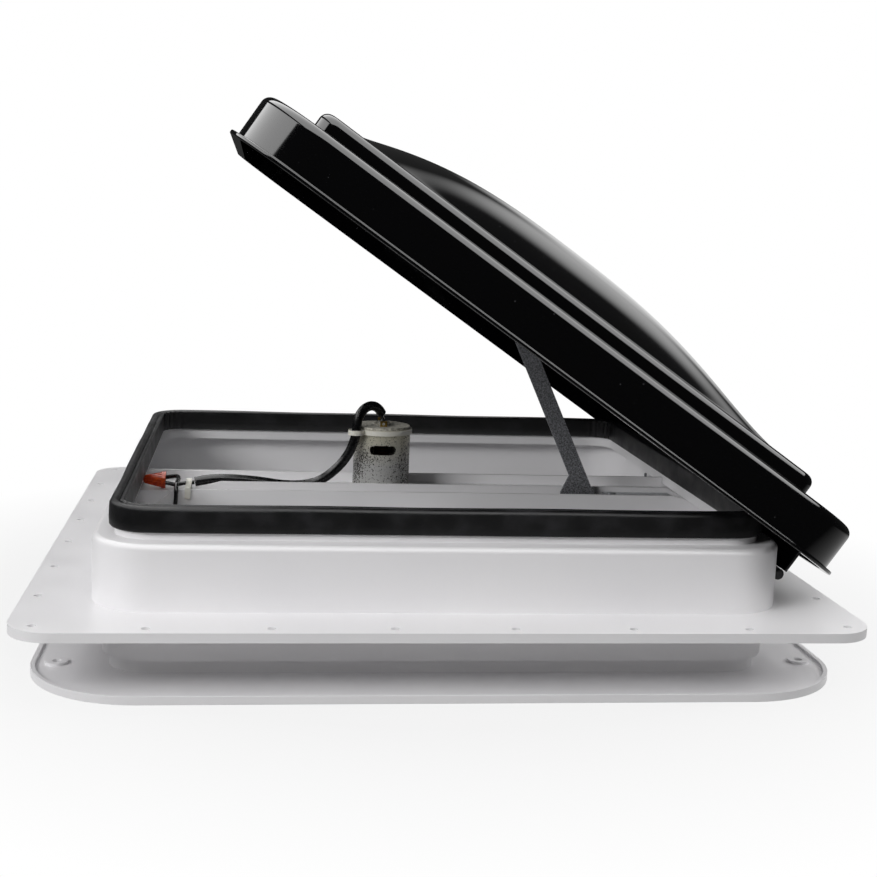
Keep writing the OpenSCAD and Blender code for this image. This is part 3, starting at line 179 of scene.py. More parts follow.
def extruded_rubber():
    """EPDM rubber, extruded: matt black, with fine pores that catch light at a low angle, and grey dust."""
    material, tree, skin, place = start_material("extruded_epdm_rubber", IOR=1.48, Specular_IOR_Level=0.35)
    bloom = add(tree, "TexNoise", {"Vector": place, "Scale": per_metre(16), "Detail": 5})
    share = add(tree, "MapRange", {"Value": bloom, "From Min": 0.48, "From Max": 0.75})
    add(tree, "Mix", {MIX_FACTOR: share, MIX_A: linear("#060607"), MIX_B: linear("#1B1B1D")}, MIX_RESULT,
        skin["Base Color"], data_type="RGBA")
    add(tree, "MapRange", {"Value": bloom, "From Min": 0.35, "From Max": 0.7, "To Min": 0.4, "To Max": 0.56},
        to=skin["Roughness"])
    # Pores of about 0.3 mm, drawn at 1.1 mm so that they show
    pores = add(tree, "TexNoise", {"Vector": place, "Scale": per_metre(1.1), "Detail": 2})
    add(tree, "Bump", {"Height": pores, "Distance": 0.1 * MM}, to=skin["Normal"])
    return material


def powder_coated_steel():
    """Steel with a black powder coat: satin, with the coat's orange peel."""
    material, tree, skin, place = start_material("powder_coated_steel", IOR=1.5, Roughness=0.42)
    peel = add(tree, "TexNoise", {"Vector": place, "Scale": per_metre(1.5), "Detail": 1})
    add(tree, "Mix", {MIX_FACTOR: peel, MIX_A: linear("#0E0E10"), MIX_B: linear("#1A1A1D")}, MIX_RESULT,
        skin["Base Color"], data_type="RGBA")
    add(tree, "Bump", {"Height": peel, "Distance": 0.05 * MM}, to=skin["Normal"])
    return material


def zinc_plated_steel():
    """Zinc-plated steel: a bluish bright metal, clouded by passivation."""
    material, tree, skin, place = start_material("zinc_plated_steel", Metallic=0.9)
    cloud = add(tree, "TexNoise", {"Vector": place, "Scale": per_metre(4), "Detail": 4})
    add(tree, "Mix", {MIX_FACTOR: cloud, MIX_A: linear("#A9ADB2"), MIX_B: linear("#D2D4D6")}, MIX_RESULT,
        skin["Base Color"], data_type="RGBA")
    add(tree, "MapRange", {"Value": cloud, "From Min": 0.3, "From Max": 0.7, "To Min": 0.26, "To Max": 0.42},
        to=skin["Roughness"])
    return material


def drawn_can_steel():
    """Galvanised steel can, deep drawn: dull silver, straw-tinted above, with dark specks all over and more of
    them at its foot and sides as painted shade.
    """
    material, tree, skin, place = start_material("drawn_can_steel", Metallic=0.45)
    drawn = add(tree, "Mapping", {"Vector": place, "Scale": (1, 1, 0.06)})
    lines = add(tree, "TexNoise", {"Vector": drawn, "Scale": per_metre(0.9), "Detail": 2})
    # Specks of about 0.3 mm, drawn at 1 mm so that they show
    spots = add(tree, "TexNoise", {"Vector": place, "Scale": per_metre(1), "Detail": 2, "Roughness": 0.7})
    patches = add(tree, "TexNoise", {"Vector": place, "Scale": per_metre(16), "Detail": 2})
    parts = add(tree, "SeparateXYZ", {0: place}).node.outputs
    # Painted shade: more dark specks towards the can's foot and towards the sides that face left and right,
    # darkening it where shade falls
    foot = add(tree, "MapRange", {"Value": parts["Z"], "From Min": CAN_FOOT * MM,
                                  "From Max": CAN_FOOT_END * MM, "To Min": 0.06, "To Max": 0})
    aside = add(tree, "Math", {0: parts["X"], 1: MOTOR_AT * MM}, operation="SUBTRACT")
    aside = add(tree, "Math", {0: aside}, operation="ABSOLUTE")
    side = add(tree, "MapRange", {"Value": aside, "From Min": CAN_SIDE_FROM * MM, "From Max": CAN_SIDE * MM,
                                  "To Min": 0, "To Max": 0.1})
    speck_shade_crowd = add(tree, "Math", {0: foot, 1: side}, operation="ADD")
    speck_shade_crowd = add(tree, "Math", {0: patches, 1: 0.35, 2: speck_shade_crowd}, operation="MULTIPLY_ADD")
    level = add(tree, "Math", {0: spots, 1: speck_shade_crowd}, operation="ADD")
    specks_and_painted_shade = add(tree, "MapRange", {"Value": level, "From Min": 0.77, "From Max": 0.84})
    upper = add(tree, "MapRange", {"Value": parts["Z"], "From Min": CAN_TINT_FROM * MM,
                                   "From Max": CAN_TINT_FULL * MM})
    bare = add(tree, "Mix", {MIX_FACTOR: upper, MIX_A: linear("#C4C4C2"), MIX_B: linear("#D6D1B8")},
               MIX_RESULT, data_type="RGBA")
    add(tree, "Mix", {MIX_FACTOR: specks_and_painted_shade, MIX_A: bare, MIX_B: linear("#3A3733")}, MIX_RESULT,
        skin["Base Color"], data_type="RGBA")
    add(tree, "MapRange", {"Value": lines, "From Min": 0.3, "From Max": 0.7, "To Min": 0.3, "To Max": 0.46},
        to=skin["Roughness"])
    add(tree, "Bump", {"Height": lines, "Distance": 0.02 * MM}, to=skin["Normal"])
    return material


def phosphated_steel():
    """Stamped steel with a dark phosphate coat: dull grey-black with a crystalline speckle."""
    material, tree, skin, place = start_material("phosphated_steel", Metallic=0.4, Roughness=0.55)
    # Phosphate crystals are far below a pixel; the speckle is drawn at 0.9 mm
    speckle = add(tree, "TexNoise", {"Vector": place, "Scale": per_metre(0.9), "Detail": 3})
    share = add(tree, "MapRange", {"Value": speckle, "From Min": 0.35, "From Max": 0.7})
    add(tree, "Mix", {MIX_FACTOR: share, MIX_A: linear("#525356"), MIX_B: linear("#9A9B9F")}, MIX_RESULT,
        skin["Base Color"], data_type="RGBA")
    add(tree, "Bump", {"Height": speckle, "Distance": 0.03 * MM}, to=skin["Normal"])
    return material


def moulded_cream_nylon():
    """Glass-filled nylon, moulded: matt grey-cream, mottled by its fibres and by brush dust."""
    material, tree, skin, place = start_material("moulded_cream_nylon", IOR=1.53, Roughness=0.5)
    fibre = add(tree, "TexNoise", {"Vector": place, "Scale": per_metre(1.8), "Detail": 4, "Roughness": 0.65})
    share = add(tree, "MapRange", {"Value": fibre, "From Min": 0.38, "From Max": 0.62})
    add(tree, "Mix", {MIX_FACTOR: share, MIX_A: linear("#8F8C83"), MIX_B: linear("#D2CFC4")}, MIX_RESULT,
        skin["Base Color"], data_type="RGBA")
    add(tree, "Bump", {"Height": fibre, "Distance": 0.04 * MM}, to=skin["Normal"])
    return material


def natural_nylon():
    """Unpigmented nylon, moulded: milky and a little translucent."""
    material, tree, skin, place = start_material(
        "natural_nylon", IOR=1.53, Roughness=0.32, Subsurface_Weight=0.35, Subsurface_Scale=0.002,
        Subsurface_Radius=(1, 0.9, 0.8),
    )
    cloud = add(tree, "TexNoise", {"Vector": place, "Scale": per_metre(3), "Detail": 2})
    add(tree, "Mix", {MIX_FACTOR: cloud, MIX_A: linear("#DDDACE"), MIX_B: linear("#EFEDE4")}, MIX_RESULT,
        skin["Base Color"], data_type="RGBA")
    return material


def wound_armature():
    """Lacquered copper on dark laminations: brown bands in deep shade."""
    material, tree, skin, place = start_material("wound_armature", Metallic=0.6, Roughness=0.45)
    sheets = add(tree, "TexWave", {"Vector": place, "Scale": per_metre(7)}, "Fac", bands_direction="Z")
    add(tree, "Mix", {MIX_FACTOR: sheets, MIX_A: linear("#1C1310"), MIX_B: linear("#5C3620")}, MIX_RESULT,
        skin["Base Color"], data_type="RGBA")
    add(tree, "Bump", {"Height": sheets, "Distance": 0.1 * MM}, to=skin["Normal"])
    return material


def stamped_brass():
    """Brass strip, stamped: dull yellow metal, lightly tarnished."""
    material, tree, skin, place = start_material("stamped_brass", Metallic=1, Roughness=0.32)
    tarnish = add(tree, "TexNoise", {"Vector": place, "Scale": per_metre(2.5), "Detail": 4})
    add(tree, "Mix", {MIX_FACTOR: tarnish, MIX_A: linear("#8F6F2E"), MIX_B: linear("#D9B562")}, MIX_RESULT,
        skin["Base Color"], data_type="RGBA")
    return material


def extruded_pvc():
    """PVC sleeve and wire insulation, extruded: satin black with faint draw marks."""
    material, tree, skin, place = start_material("extruded_pvc", IOR=1.53, Specular_IOR_Level=0.35)
    marks = add(tree, "TexNoise", {"Vector": place, "Scale": per_metre(3), "Detail": 4})
    add(tree, "Mix", {MIX_FACTOR: marks, MIX_A: linear("#050506"), MIX_B: linear("#0F0F10")}, MIX_RESULT,
        skin["Base Color"], data_type="RGBA")
    add(tree, "MapRange", {"Value": marks, "From Min": 0.3, "From Max": 0.7, "To Min": 0.2, "To Max": 0.34},
        to=skin["Roughness"])
    add(tree, "Bump", {"Height": marks, "Distance": 0.05 * MM}, to=skin["Normal"])
    return material


def moulded_orange_pp():
    """Polypropylene, moulded: orange-red, waxy and a little translucent, so that thin ribs glow."""
    material, tree, skin, place = start_material(
        "moulded_orange_pp", IOR=1.49, Roughness=0.3, Subsurface_Weight=0.25, Subsurface_Scale=0.0015
    )
    bloom = add(tree, "TexNoise", {"Vector": place, "Scale": per_metre(2), "Detail": 3})
    share = add(tree, "MapRange", {"Value": bloom, "From Min": 0.3, "From Max": 0.7})
    add(tree, "Mix", {MIX_FACTOR: share, MIX_A: linear("#A82A0A"), MIX_B: linear("#DB5417")}, MIX_RESULT,
        skin["Base Color"], data_type="RGBA")
    return material


def textured_black_nylon():
    """Black nylon from a spark-eroded mould: matt, finely textured."""
    material, tree, skin, place = start_material("textured_black_nylon", IOR=1.53, Roughness=0.5)
    grain = add(tree, "TexNoise", {"Vector": place, "Scale": per_metre(0.8), "Detail": 2})
    add(tree, "Mix", {MIX_FACTOR: grain, MIX_A: linear("#161618"), MIX_B: linear("#26262A")}, MIX_RESULT,
        skin["Base Color"], data_type="RGBA")
    add(tree, "Bump", {"Height": grain, "Distance": 0.05 * MM}, to=skin["Normal"])
    return material


def drawn_aluminium():
    """Aluminium wire and strip, drawn: pale metal with a fine grain along it."""
    material, tree, skin, place = start_material("drawn_aluminium", Metallic=1)
    grain = add(tree, "TexNoise", {"Vector": place, "Scale": per_metre(0.9), "Detail": 2})
    add(tree, "Mix", {MIX_FACTOR: grain, MIX_A: linear("#8D9093"), MIX_B: linear("#B9BBBD")}, MIX_RESULT,
        skin["Base Color"], data_type="RGBA")
    add(tree, "MapRange", {"Value": grain, "From Min": 0.3, "From Max": 0.7, "To Min": 0.3, "To Max": 0.45},
        to=skin["Roughness"])
    return material


FINISHES = {
    "white_plastic": moulded_white_abs(),
    "black_lid_plastic": moulded_black_abs(),
    "seal_rubber": extruded_rubber(),
    "black_coated_metal": powder_coated_steel(),
    "zinc_steel": zinc_plated_steel(),
    "phosphated_steel": phosphated_steel(),
    "motor_plastic": moulded_cream_nylon(),
    "nylon": natural_nylon(),
    "armature_iron": wound_armature(),
    "brass": stamped_brass(),
    "black_sleeve": extruded_pvc(),
    "orange_plastic": moulded_orange_pp(),
    "black_plastic": textured_black_nylon(),
    "screen_aluminium": drawn_aluminium(),
}
OWN_FINISHES = {"motor_can": drawn_can_steel(), "hinge_screws": FINISHES["phosphated_steel"]}

# Radius that the moulds and dies leave on the edges of each finish
EDGE_RADII = {"white_plastic": 0.5, "phosphated_steel": 0.25, "zinc_steel": 0.2, "motor_plastic": 0.3,
              "black_coated_metal": 0.2, "orange_plastic": 0.2, "black_plastic": 0.3}
SHARP_EDGE = math.radians(40)
FLAT_ANGLE = math.radians(0.5)
WELD_REACH = 0.001


def ease_edges(piece, radius):
    """Rounds the edges of a solid by modifiers, which leave its own mesh as it is."""
    weld = piece.modifiers.new("weld", "WELD")
    weld.merge_threshold = WELD_REACH * MM
    flats = piece.modifiers.new("flats", "DECIMATE")
    flats.decimate_type = "DISSOLVE"
    flats.angle_limit = FLAT_ANGLE
    bevel = piece.modifiers.new("eased_edges", "BEVEL")
    bevel.width = radius * MM
    bevel.segments = 2
    bevel.limit_method = "ANGLE"
    bevel.angle_limit = SHARP_EDGE
    shade = piece.modifiers.new("shade", "WEIGHTED_NORMAL")
    shade.keep_sharp = True


def dress_solids():
    for row in frame["record"]["subparts"]:
        piece = nodes[row["node"]]
        slot = row["material_slot"]
        piece.data.materials.clear()
        piece.data.materials.append(OWN_FINISHES.get(row["node"], FINISHES[slot]))
        if slot in EDGE_RADII:
            ease_edges(piece, EDGE_RADII[slot])


dress_solids()


# Meshes of the pieces that replace plain solids


def finish_piece(piece, body, slot, *replaced):
    piece.data.materials.append(FINISHES[slot])
    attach(piece, body)
    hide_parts(*replaced)
    return piece


def mesh_piece(name, points, faces):
    """A smooth mesh object from points in millimetres, shaded by the size of its faces."""
    mesh = bpy.data.meshes.new(name)
    mesh.from_pydata([Vector(point) * MM for point in points], [], faces)
    mesh.polygons.foreach_set("use_smooth", [True] * len(mesh.polygons))
    mesh.set_sharp_from_angle(angle=SHARP_EDGE)
    piece = bpy.data.objects.new(name, mesh)
    scene.collection.objects.link(piece)
    shade = piece.modifiers.new("shade", "WEIGHTED_NORMAL")
    shade.keep_sharp = True
    return piece


def ring_faces(low, high, flip):
    """Quads between two closed loops of the same number of points."""
    count = len(low)
    quads = [(low[i], low[(i + 1) % count], high[(i + 1) % count], high[i]) for i in range(count)]
    return [quad[::-1] for quad in quads] if flip else quads


def closed_sweep(name, loops):
    """A ring-shaped piece from closed sections, the last joined to the first."""
    size = len(loops[0])
    rows = [list(range(k * size, (k + 1) * size)) for k in range(len(loops))]
    faces = []
    for row, following in zip(rows, rows[1:] + rows[:1]):
        faces += ring_faces(row, following, False)
    return mesh_piece(name, [point for loop in loops for point in loop], faces)


def arc(centre, radius, start, end, steps):
    """Points (across, height) along an arc, in degrees."""
    turns = [math.radians(start + (end - start) * i / steps) for i in range(steps + 1)]
    return [(centre[0] + radius * math.cos(t), centre[1] + radius * math.sin(t)) for t in turns]


# Lid, in its own frame: the middle of the lip's underside, as it lies when shut

LID_SHIFT = 2.2
LID_LEVEL = 67.7
LID_WALL = 2.5
LIP_OUT = 4
LIP_THICK = 2
LIP_EDGE = 0.6
SKIRT_TOP = 27
STEP_TOP = 38
LID_EDGE = 5
EDGE_STEPS = 10
FOOT_RADIUS = 0.6
FOOT_STEPS = 4
SKIRT = {"middle": 6.5, "half": (196.5, 190), "radius": 38}
STEP = {"middle": 4, "half": (166, 162), "radius": 10}
DOME_MIDDLE = 4
DOME_HALF = (155, 151)
DOME_RISE = 31.5
DOME_POWER = 2.8
DOME_FOOT = 0.03
SIDE_STEPS = 80
CORNER_STEPS = 10
LEAST_RADIUS = 0.5


def lid_matrix():
    hinge = Vector(joints["lid_hinge"]["pos_m"]) / MM
    opened = -math.radians(joints["lid_hinge"]["range_deg"][0])
    to_hinge = Vector((LID_SHIFT - hinge.x, 0, LID_LEVEL - hinge.z))
    return Matrix.Translation(hinge) @ Matrix.Rotation(opened, 4, "Y") @ Matrix.Translation(to_hinge)


def outline_loop(plan, inset, height):
    """Points round a rounded rectangle, each side from the middle of one corner to the middle of the next."""
    half = [h - inset for h in plan["half"]]
    radius = max(plan["radius"] - inset, LEAST_RADIUS)
    straight = SIDE_STEPS - 2 * CORNER_STEPS
    points = []
    for side in range(4):
        along, out = (half[0], half[1]) if side % 2 == 0 else (half[1], half[0])
        turn = Matrix.Rotation(math.radians(90 * side), 2)
        for i in range(SIDE_STEPS):
            if i <= CORNER_STEPS:
                a = math.radians(225 + 45 * i / CORNER_STEPS)
                p = (radius - along + radius * math.cos(a), radius - out + radius * math.sin(a))
            elif i >= SIDE_STEPS - CORNER_STEPS:
                a = math.radians(270 + 45 * (i - SIDE_STEPS + CORNER_STEPS) / CORNER_STEPS)
                p = (along - radius + radius * math.cos(a), radius - out + radius * math.sin(a))
            else:
                share = (i - CORNER_STEPS) / straight
                p = ((along - radius) * (2 * share - 1), -out)
            x, y = turn @ Vector(p)
            points.append((x + plan["middle"], y, height))
    return points


def dome_height(u, v):
    """Height of the dome at u and v, from -1 to 1 across it, with a small fillet at its foot."""
    rise = 1
    for w in (u, v):
        plain = 1 - abs(w) ** DOME_POWER
        rise *= (math.hypot(plain, DOME_FOOT) - DOME_FOOT) / (math.hypot(1, DOME_FOOT) - DOME_FOOT)
    return STEP_TOP + DOME_RISE * rise


def dome_grid(drop):
    """Rows of points over the dome, closer together towards its edge."""
    places = [math.sin(math.pi / 2 * (2 * i / SIDE_STEPS - 1)) for i in range(SIDE_STEPS + 1)]
    return [
        [(DOME_MIDDLE + DOME_HALF[0] * u, DOME_HALF[1] * v, dome_height(u, v) - drop) for u in places]
        for v in places
    ]


def lid_loops(inside):
    """Loops from the lip's inner edge up to the foot of the dome, along the outside or the inside."""
    if inside:
        return [
            outline_loop(SKIRT, LID_WALL, SKIRT_TOP - LID_WALL),
            outline_loop(STEP, LID_WALL, SKIRT_TOP - LID_WALL),
            outline_loop(STEP, LID_WALL, STEP_TOP - LID_WALL),
        ]
    lip = arc((LIP_EDGE - LIP_OUT, LIP_EDGE), LIP_EDGE, 270, 180, FOOT_STEPS)
    lip += arc((LIP_EDGE - LIP_OUT, LIP_THICK - LIP_EDGE), LIP_EDGE, 180, 90, FOOT_STEPS)
    foot = arc((-FOOT_RADIUS, LIP_THICK + FOOT_RADIUS), FOOT_RADIUS, 270, 360, FOOT_STEPS)
    edge = arc((LID_EDGE, SKIRT_TOP - LID_EDGE), LID_EDGE, 180, 90, EDGE_STEPS)
    step_foot = arc((-FOOT_RADIUS, SKIRT_TOP + FOOT_RADIUS), FOOT_RADIUS, 270, 360, FOOT_STEPS)
    step_edge = arc((LID_EDGE, STEP_TOP - LID_EDGE), LID_EDGE, 180, 90, EDGE_STEPS)
    return [outline_loop(SKIRT, *p) for p in lip + foot + edge] + [
        outline_loop(STEP, *p) for p in step_foot + step_edge
    ]


def make_lid():
    count = 4 * SIDE_STEPS
    width = SIDE_STEPS + 1
    end = SIDE_STEPS
    points = outline_loop(SKIRT, LID_WALL, 0)
    faces = []
    for inside in (False, True):
        last = list(range(count))
        for loop in lid_loops(inside):
            new = list(range(len(points), len(points) + count))
            points += loop
            faces += ring_faces(last, new, inside)
            last = new
        start = len(points)
        for row in dome_grid(LID_WALL if inside else 0):
            points += row
        rim = [start + i for i in range(end)]
        rim += [start + j * width + end for j in range(end)]
        rim += [start + end * width + end - i for i in range(end)]
        rim += [start + (end - j) * width for j in range(end)]
        faces += ring_faces(last, rim, inside)
        for j in range(end):
            for i in range(end):
                a = start + j * width + i
                quad = (a, a + 1, a + width + 1, a + width)
                faces.append(quad[::-1] if inside else quad)
    opened = lid_matrix()
    lid = mesh_piece("lid", [opened @ Vector(point) for point in points], faces)
    return finish_piece(lid, "lid", "black_lid_plastic", "lid_shell")


make_lid()


# Rim seal: a rubber channel pushed over the rim, with a thin lip and a groove along its inner edge

CORNER_CENTRE = 153.5
SEAL_IN, SEAL_OUT = 13.5, 22.5
RIM_IN, RIM_OUT = 16.4, 19.6
SEAL_FOOT, SEAL_TOP = 77, 91
RIM_TOP = 88.1
SEAL_EASE = 0.35
LIP_RADIUS = 1.35
GROOVE_AT, GROOVE_DEEP = 16.6, 0.9
LOBE_HIGH = 2.6
TOE = 0.7
SEAL_STEP = 2.0
BEND_STEPS = 30
PLEAT_LENGTH = 5.5
PLEAT_DEPTH = 0.6
WOBBLE_DEPTH = 0.35
WOBBLE_LONG, WOBBLE_SHORT, WOBBLE_SHARE, WOBBLE_START = 31, 12.7, 0.6, 1.3
CROWN_DEPTH = 0.14
CROWN_LONG, CROWN_START = 19, 0.7
LIP_STEPS = 6
LOBE_FROM, LOBE_TURN, LOBE_POINTS = 165, 15, 12
HEEL, CALF = 1, 5
HEEL_OUT, CALF_OUT = 0.1, 0.3
BEND_NEAR = 0.9


def rim_stations():
    """(corner point or side point, outward direction, how much of a corner it is) round the rim."""
    stations = []
    straight = int(2 * CORNER_CENTRE / SEAL_STEP)
    for side in range(4):
        turn = Matrix.Rotation(math.radians(90 * side), 2)
        for i in range(straight):
            along = CORNER_CENTRE * (2 * i / straight - 1)
            near = max(0.0, abs(along) / CORNER_CENTRE - BEND_NEAR) / (1 - BEND_NEAR)
            stations.append((turn @ Vector((CORNER_CENTRE, along)), turn @ Vector((1, 0)), near * 0.5))
        for i in range(BEND_STEPS):
            a = math.radians(90 * i / BEND_STEPS)
            corner = turn @ Vector((CORNER_CENTRE, CORNER_CENTRE))
            stations.append((corner, turn @ Vector((math.cos(a), math.sin(a))), 0.5 + 0.5 * math.sin(2 * a)))
    return stations


def seal_section(travel, corner):
    """Closed outline (outwards, height) of the seal at a distance along the rim."""
    wobble = math.sin(travel / WOBBLE_LONG) + WOBBLE_SHARE * math.sin(travel / WOBBLE_SHORT + WOBBLE_START)
    pleat = PLEAT_DEPTH * corner * math.sin(2 * math.pi * travel / PLEAT_LENGTH)
    inner = SEAL_IN + SEAL_EASE + 0.5 * pleat
    outer = SEAL_OUT - SEAL_EASE + 0.4 * WOBBLE_DEPTH * wobble
    top = SEAL_TOP - SEAL_EASE + CROWN_DEPTH * math.sin(travel / CROWN_LONG + CROWN_START)
    lip = arc((inner + LIP_RADIUS, top - LIP_RADIUS + 0.3 * pleat), LIP_RADIUS, 180, 30, LIP_STEPS)
    groove = [(GROOVE_AT + 0.3 * pleat, top - GROOVE_DEEP)]
    half = (outer - GROOVE_AT) / 2
    turns = [math.radians(LOBE_FROM - LOBE_TURN * k) for k in range(LOBE_POINTS)]
    lobe = [(outer - half + half * math.cos(t), top - LOBE_HIGH + LOBE_HIGH * math.sin(t)) for t in turns]
    outside = [(outer + CALF_OUT, SEAL_FOOT + CALF), (outer + HEEL_OUT, SEAL_FOOT + HEEL),
               (outer - TOE, SEAL_FOOT)]
    slot = [(RIM_OUT + TOE, SEAL_FOOT), (RIM_OUT, SEAL_FOOT + TOE), (RIM_OUT, RIM_TOP), (RIM_IN, RIM_TOP),
            (RIM_IN, SEAL_FOOT + TOE), (RIM_IN - TOE, SEAL_FOOT)]
    inside = [(inner + TOE, SEAL_FOOT), (inner - HEEL_OUT, SEAL_FOOT + HEEL),
              (inner - CALF_OUT + 0.5 * pleat, SEAL_FOOT + CALF)]
    return lip + groove + lobe + outside + slot + inside


def make_seal():
    loops, travel, last = [], 0.0, None
    for base, out, corner in rim_stations():
        middle = base + out * (SEAL_IN + SEAL_OUT) / 2
        travel += 0 if last is None else (middle - last).length
        last = middle
        loops.append([(*(base + out * across), height) for across, height in seal_section(travel, corner)])
    return finish_piece(closed_sweep("seal", loops), "base", "seal_rubber", "rim_seal")


make_seal()


# Wiring: the routes of the part's source, in millimetres

SLEEVE_ROUTE = [
    (-137.5, -14, 72.6), (-130, -14, 74), (-121, -14, 74.7), (-110, -14, 74.4), (-98, -14, 73.4),
    (-84, -14, 71.6), (-72, -14, 71.6), (-62, -14, 74), (-54.1, -14, 78.9), (-47, -14.3, 86),
    (-42.1, -14.3, 93.6), (-39.4, -13.8, 100.7), (-38.4, -13.3, 105.3), (-38.1, -12.9, 109),
    (-37.6, -12.3, 112.7), (-36.1, -11.1, 116.5), (-33.6, -9.3, 119.5), (-30.4, -6.9, 121.1),
    (-27, -4.1, 120.9), (-23.9, -1.6, 118.9), (-21.6, 0.2, 115.7),
]
MOTOR_WIRE_ROUTE = [
    (-21, 0.95, 113.9), (-21, 3.2, 113.6), (-21, 5.4, 113.1), (-21, 6.9, 112.2), (-21, 7.4, 111.2),
]
MOTOR_LEAD_ROUTE = [
    (-137.9, -14, 72.2), (-141, -14, 72), (-144.5, -14, 71.5), (-149.4, -14, 70.6), (-153.4, -14, 71.3),
    (-157, -14, 71.8),
]
SWITCH_ROUTE = [
    (-157, -14, 74.9), (-154.4, -14, 75.2), (-151.4, -15.2, 76), (-149.1, -17.4, 76.6), (-147.6, -20.6, 76.7),
    (-147, -24.8, 76.3), (-147.4, -28.9, 75.6), (-147.8, -33.1, 75.1), (-147.8, -35.9, 74.3),
    (-147.8, -37.9, 72.3), (-147.8, -38.6, 69.6), (-148, -38.8, 65), (-148.3, -39.4, 60.4),
    (-148.6, -41.6, 56.5), (-148.8, -45.6, 53.8), (-149, -51.2, 52.9),
]
SLEEVE_WIDTH = 6
WIRE_WIDTH = 2.5
MOTOR_WIRE_WIDTH = 1.6
ROUTE_STEPS = 6
ROUND_STEPS = 6


def smooth_route(route):
    """Points along a smooth curve through the points of a route."""
    ends = [Vector(route[0])] + [Vector(p) for p in route] + [Vector(route[-1])]
    points = []
    for a, b, c, d in zip(ends, ends[1:], ends[2:], ends[3:]):
        for step in range(ROUTE_STEPS):
            t = step / ROUTE_STEPS
            square = 2 * a - 5 * b + 4 * c - d
            cube = 3 * b - a - 3 * c + d
            points.append(0.5 * (2 * b + (c - a) * t + square * t**2 + cube * t**3))
    return points + [ends[-1]]


def round_wires(name, runs, width, roundness):
    """Round wires along runs of points, as one curve."""
    curve = bpy.data.curves.new(name, "CURVE")
    curve.dimensions = "3D"
    curve.bevel_depth = width / 2 * MM
    curve.bevel_resolution = roundness
    curve.use_fill_caps = True
    for run in runs:
        line = curve.splines.new("POLY")
        line.points.add(len(run) - 1)
        for place, point in zip(run, line.points):
            point.co = (*(Vector(place) * MM), 1)
        line.use_smooth = True
    piece = bpy.data.objects.new(name, curve)
    scene.collection.objects.link(piece)
    return piece


def lead(name, route, width, replaced):
    piece = round_wires(name, [smooth_route(route)], width, ROUND_STEPS)
    return finish_piece(piece, "base", "black_sleeve", replaced)


def make_wiring():
    sleeve = lead("sleeve", SLEEVE_ROUTE, SLEEVE_WIDTH, "lead_sleeve")
    switch = lead("switch_lead", SWITCH_ROUTE, WIRE_WIDTH, "switch_wire")
    lead("joined_lead", MOTOR_LEAD_ROUTE, WIRE_WIDTH, "motor_lead")
    for name, side in (("motor_wire_front", -1), ("motor_wire_back", 1)):
        lead(name, [(x, side * y, z) for x, y, z in MOTOR_WIRE_ROUTE], MOTOR_WIRE_WIDTH, "motor_wires")


make_wiring()


# Insect screen: a plain-woven wire net in a flat hem, with an eyelet for the crank shaft

NET_HALF = 160.5
NET_HEM = 4.7
NET_LEVEL = 36.5
NET_WIRE = 0.5
# Real net has about 1.5 mm between its wires; it is drawn at 4 mm, which still shows as a net from below
NET_PITCH = 4
HEM_HALF_THICK = 0.45
SWITCH_PLATE = ((-175, -136), (-68.8, -34.8))
EYELET_HOLE, EYELET_RIM = 4, 8.5
EYELET_STEPS = 48


def flat_ring(name, middle, inner, outer, directions):
    """A flat aluminium strip round a middle, between an inner and an outer size, at the net's level."""
    low, high = NET_LEVEL - HEM_HALF_THICK, NET_LEVEL + HEM_HALF_THICK
    strip = [(inner, low), (outer, low), (outer, high), (inner, high)]
    loops = [[(middle[0] + x * u, middle[1] + y * u, z) for u, z in strip] for x, y in directions]
    finish_piece(closed_sweep(name, loops), "base", "screen_aluminium", "screen_mesh")


def make_net():
    low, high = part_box("worm_shaft")
    shaft = (Vector(low) + Vector(high)).to_2d() / (2 * MM)
    count = int(NET_HALF / NET_PITCH)
    reach = NET_HALF + NET_HEM
    runs = []
    for across in (False, True):
        for i in range(-count, count + 1):
            run = []
            for j in range(-count - 1, count + 2):
                along = max(-reach, min(reach, j * NET_PITCH))
                x, y = (i * NET_PITCH, along) if across else (along, i * NET_PITCH)
                cut = all(side[0] < at < side[1] for side, at in zip(SWITCH_PLATE, (x, y)))
                if cut or (Vector((x, y)) - shaft).length < EYELET_HOLE:
                    runs.append(run)
                    run = []
                else:
                    over = NET_WIRE / 2 if (i + j) % 2 == across else -NET_WIRE / 2
                    run.append((x, y, NET_LEVEL + over))
            runs.append(run)
    net = round_wires("net", [run for run in runs if len(run) > 1], NET_WIRE, 0)
    finish_piece(net, "base", "screen_aluminium", "screen_mesh")
    corners = [(1, 1), (-1, 1), (-1, -1), (1, -1)]
    flat_ring("net_hem", (0, 0), NET_HALF, reach, corners)
    turns = [2 * math.pi * k / EYELET_STEPS for k in range(EYELET_STEPS)]
    flat_ring("net_eyelet", shaft, EYELET_HOLE, EYELET_RIM, [(math.cos(t), math.sin(t)) for t in turns])


make_net()


# Stage: a small pale floor, a white surround and soft light, in metres except for the floor's drop

FLOOR_RADIUS = 0.6
FLOOR_SEGMENTS = 96
FLOOR_DROP = 0.1
FLOOR_SHADE = 0.16
WHITE_FROM, WHITE_AT = 0.25, 0.42
GLOSS_NEAR, GLOSS_FAR = 0.24, 0.44
AMBIENT = 0.1
ROOM_GLOSS = 0.03
# Two softboxes side by side overhead, as gloss sees them: their reach to each side and along, per unit of
# height, skewed as they hang, and the dark gap between them
BOX_REACH = 1.7
BOX_NEAR, BOX_FAR = -1.5, 1.1
BOX_SKEW = 0.3
BOX_EDGE = 0.06
BOX_GAP_AT, BOX_GAP = -0.8, 0.14
BOX_GLOSS = 4.4
# Directions at or under the horizon count as this high, which is past the softboxes
LEAST_UP = 0.01
# Soft light on the backdrop, behind and to the right: (direction, cosines at its edge and at its core)
GLOWS = [((0.464, 0.836, 0.292), 0.978, 0.999), ((0.341, 0.937, 0.07), 0.983, 0.999)]
GLOW_GLOSS = 0.9

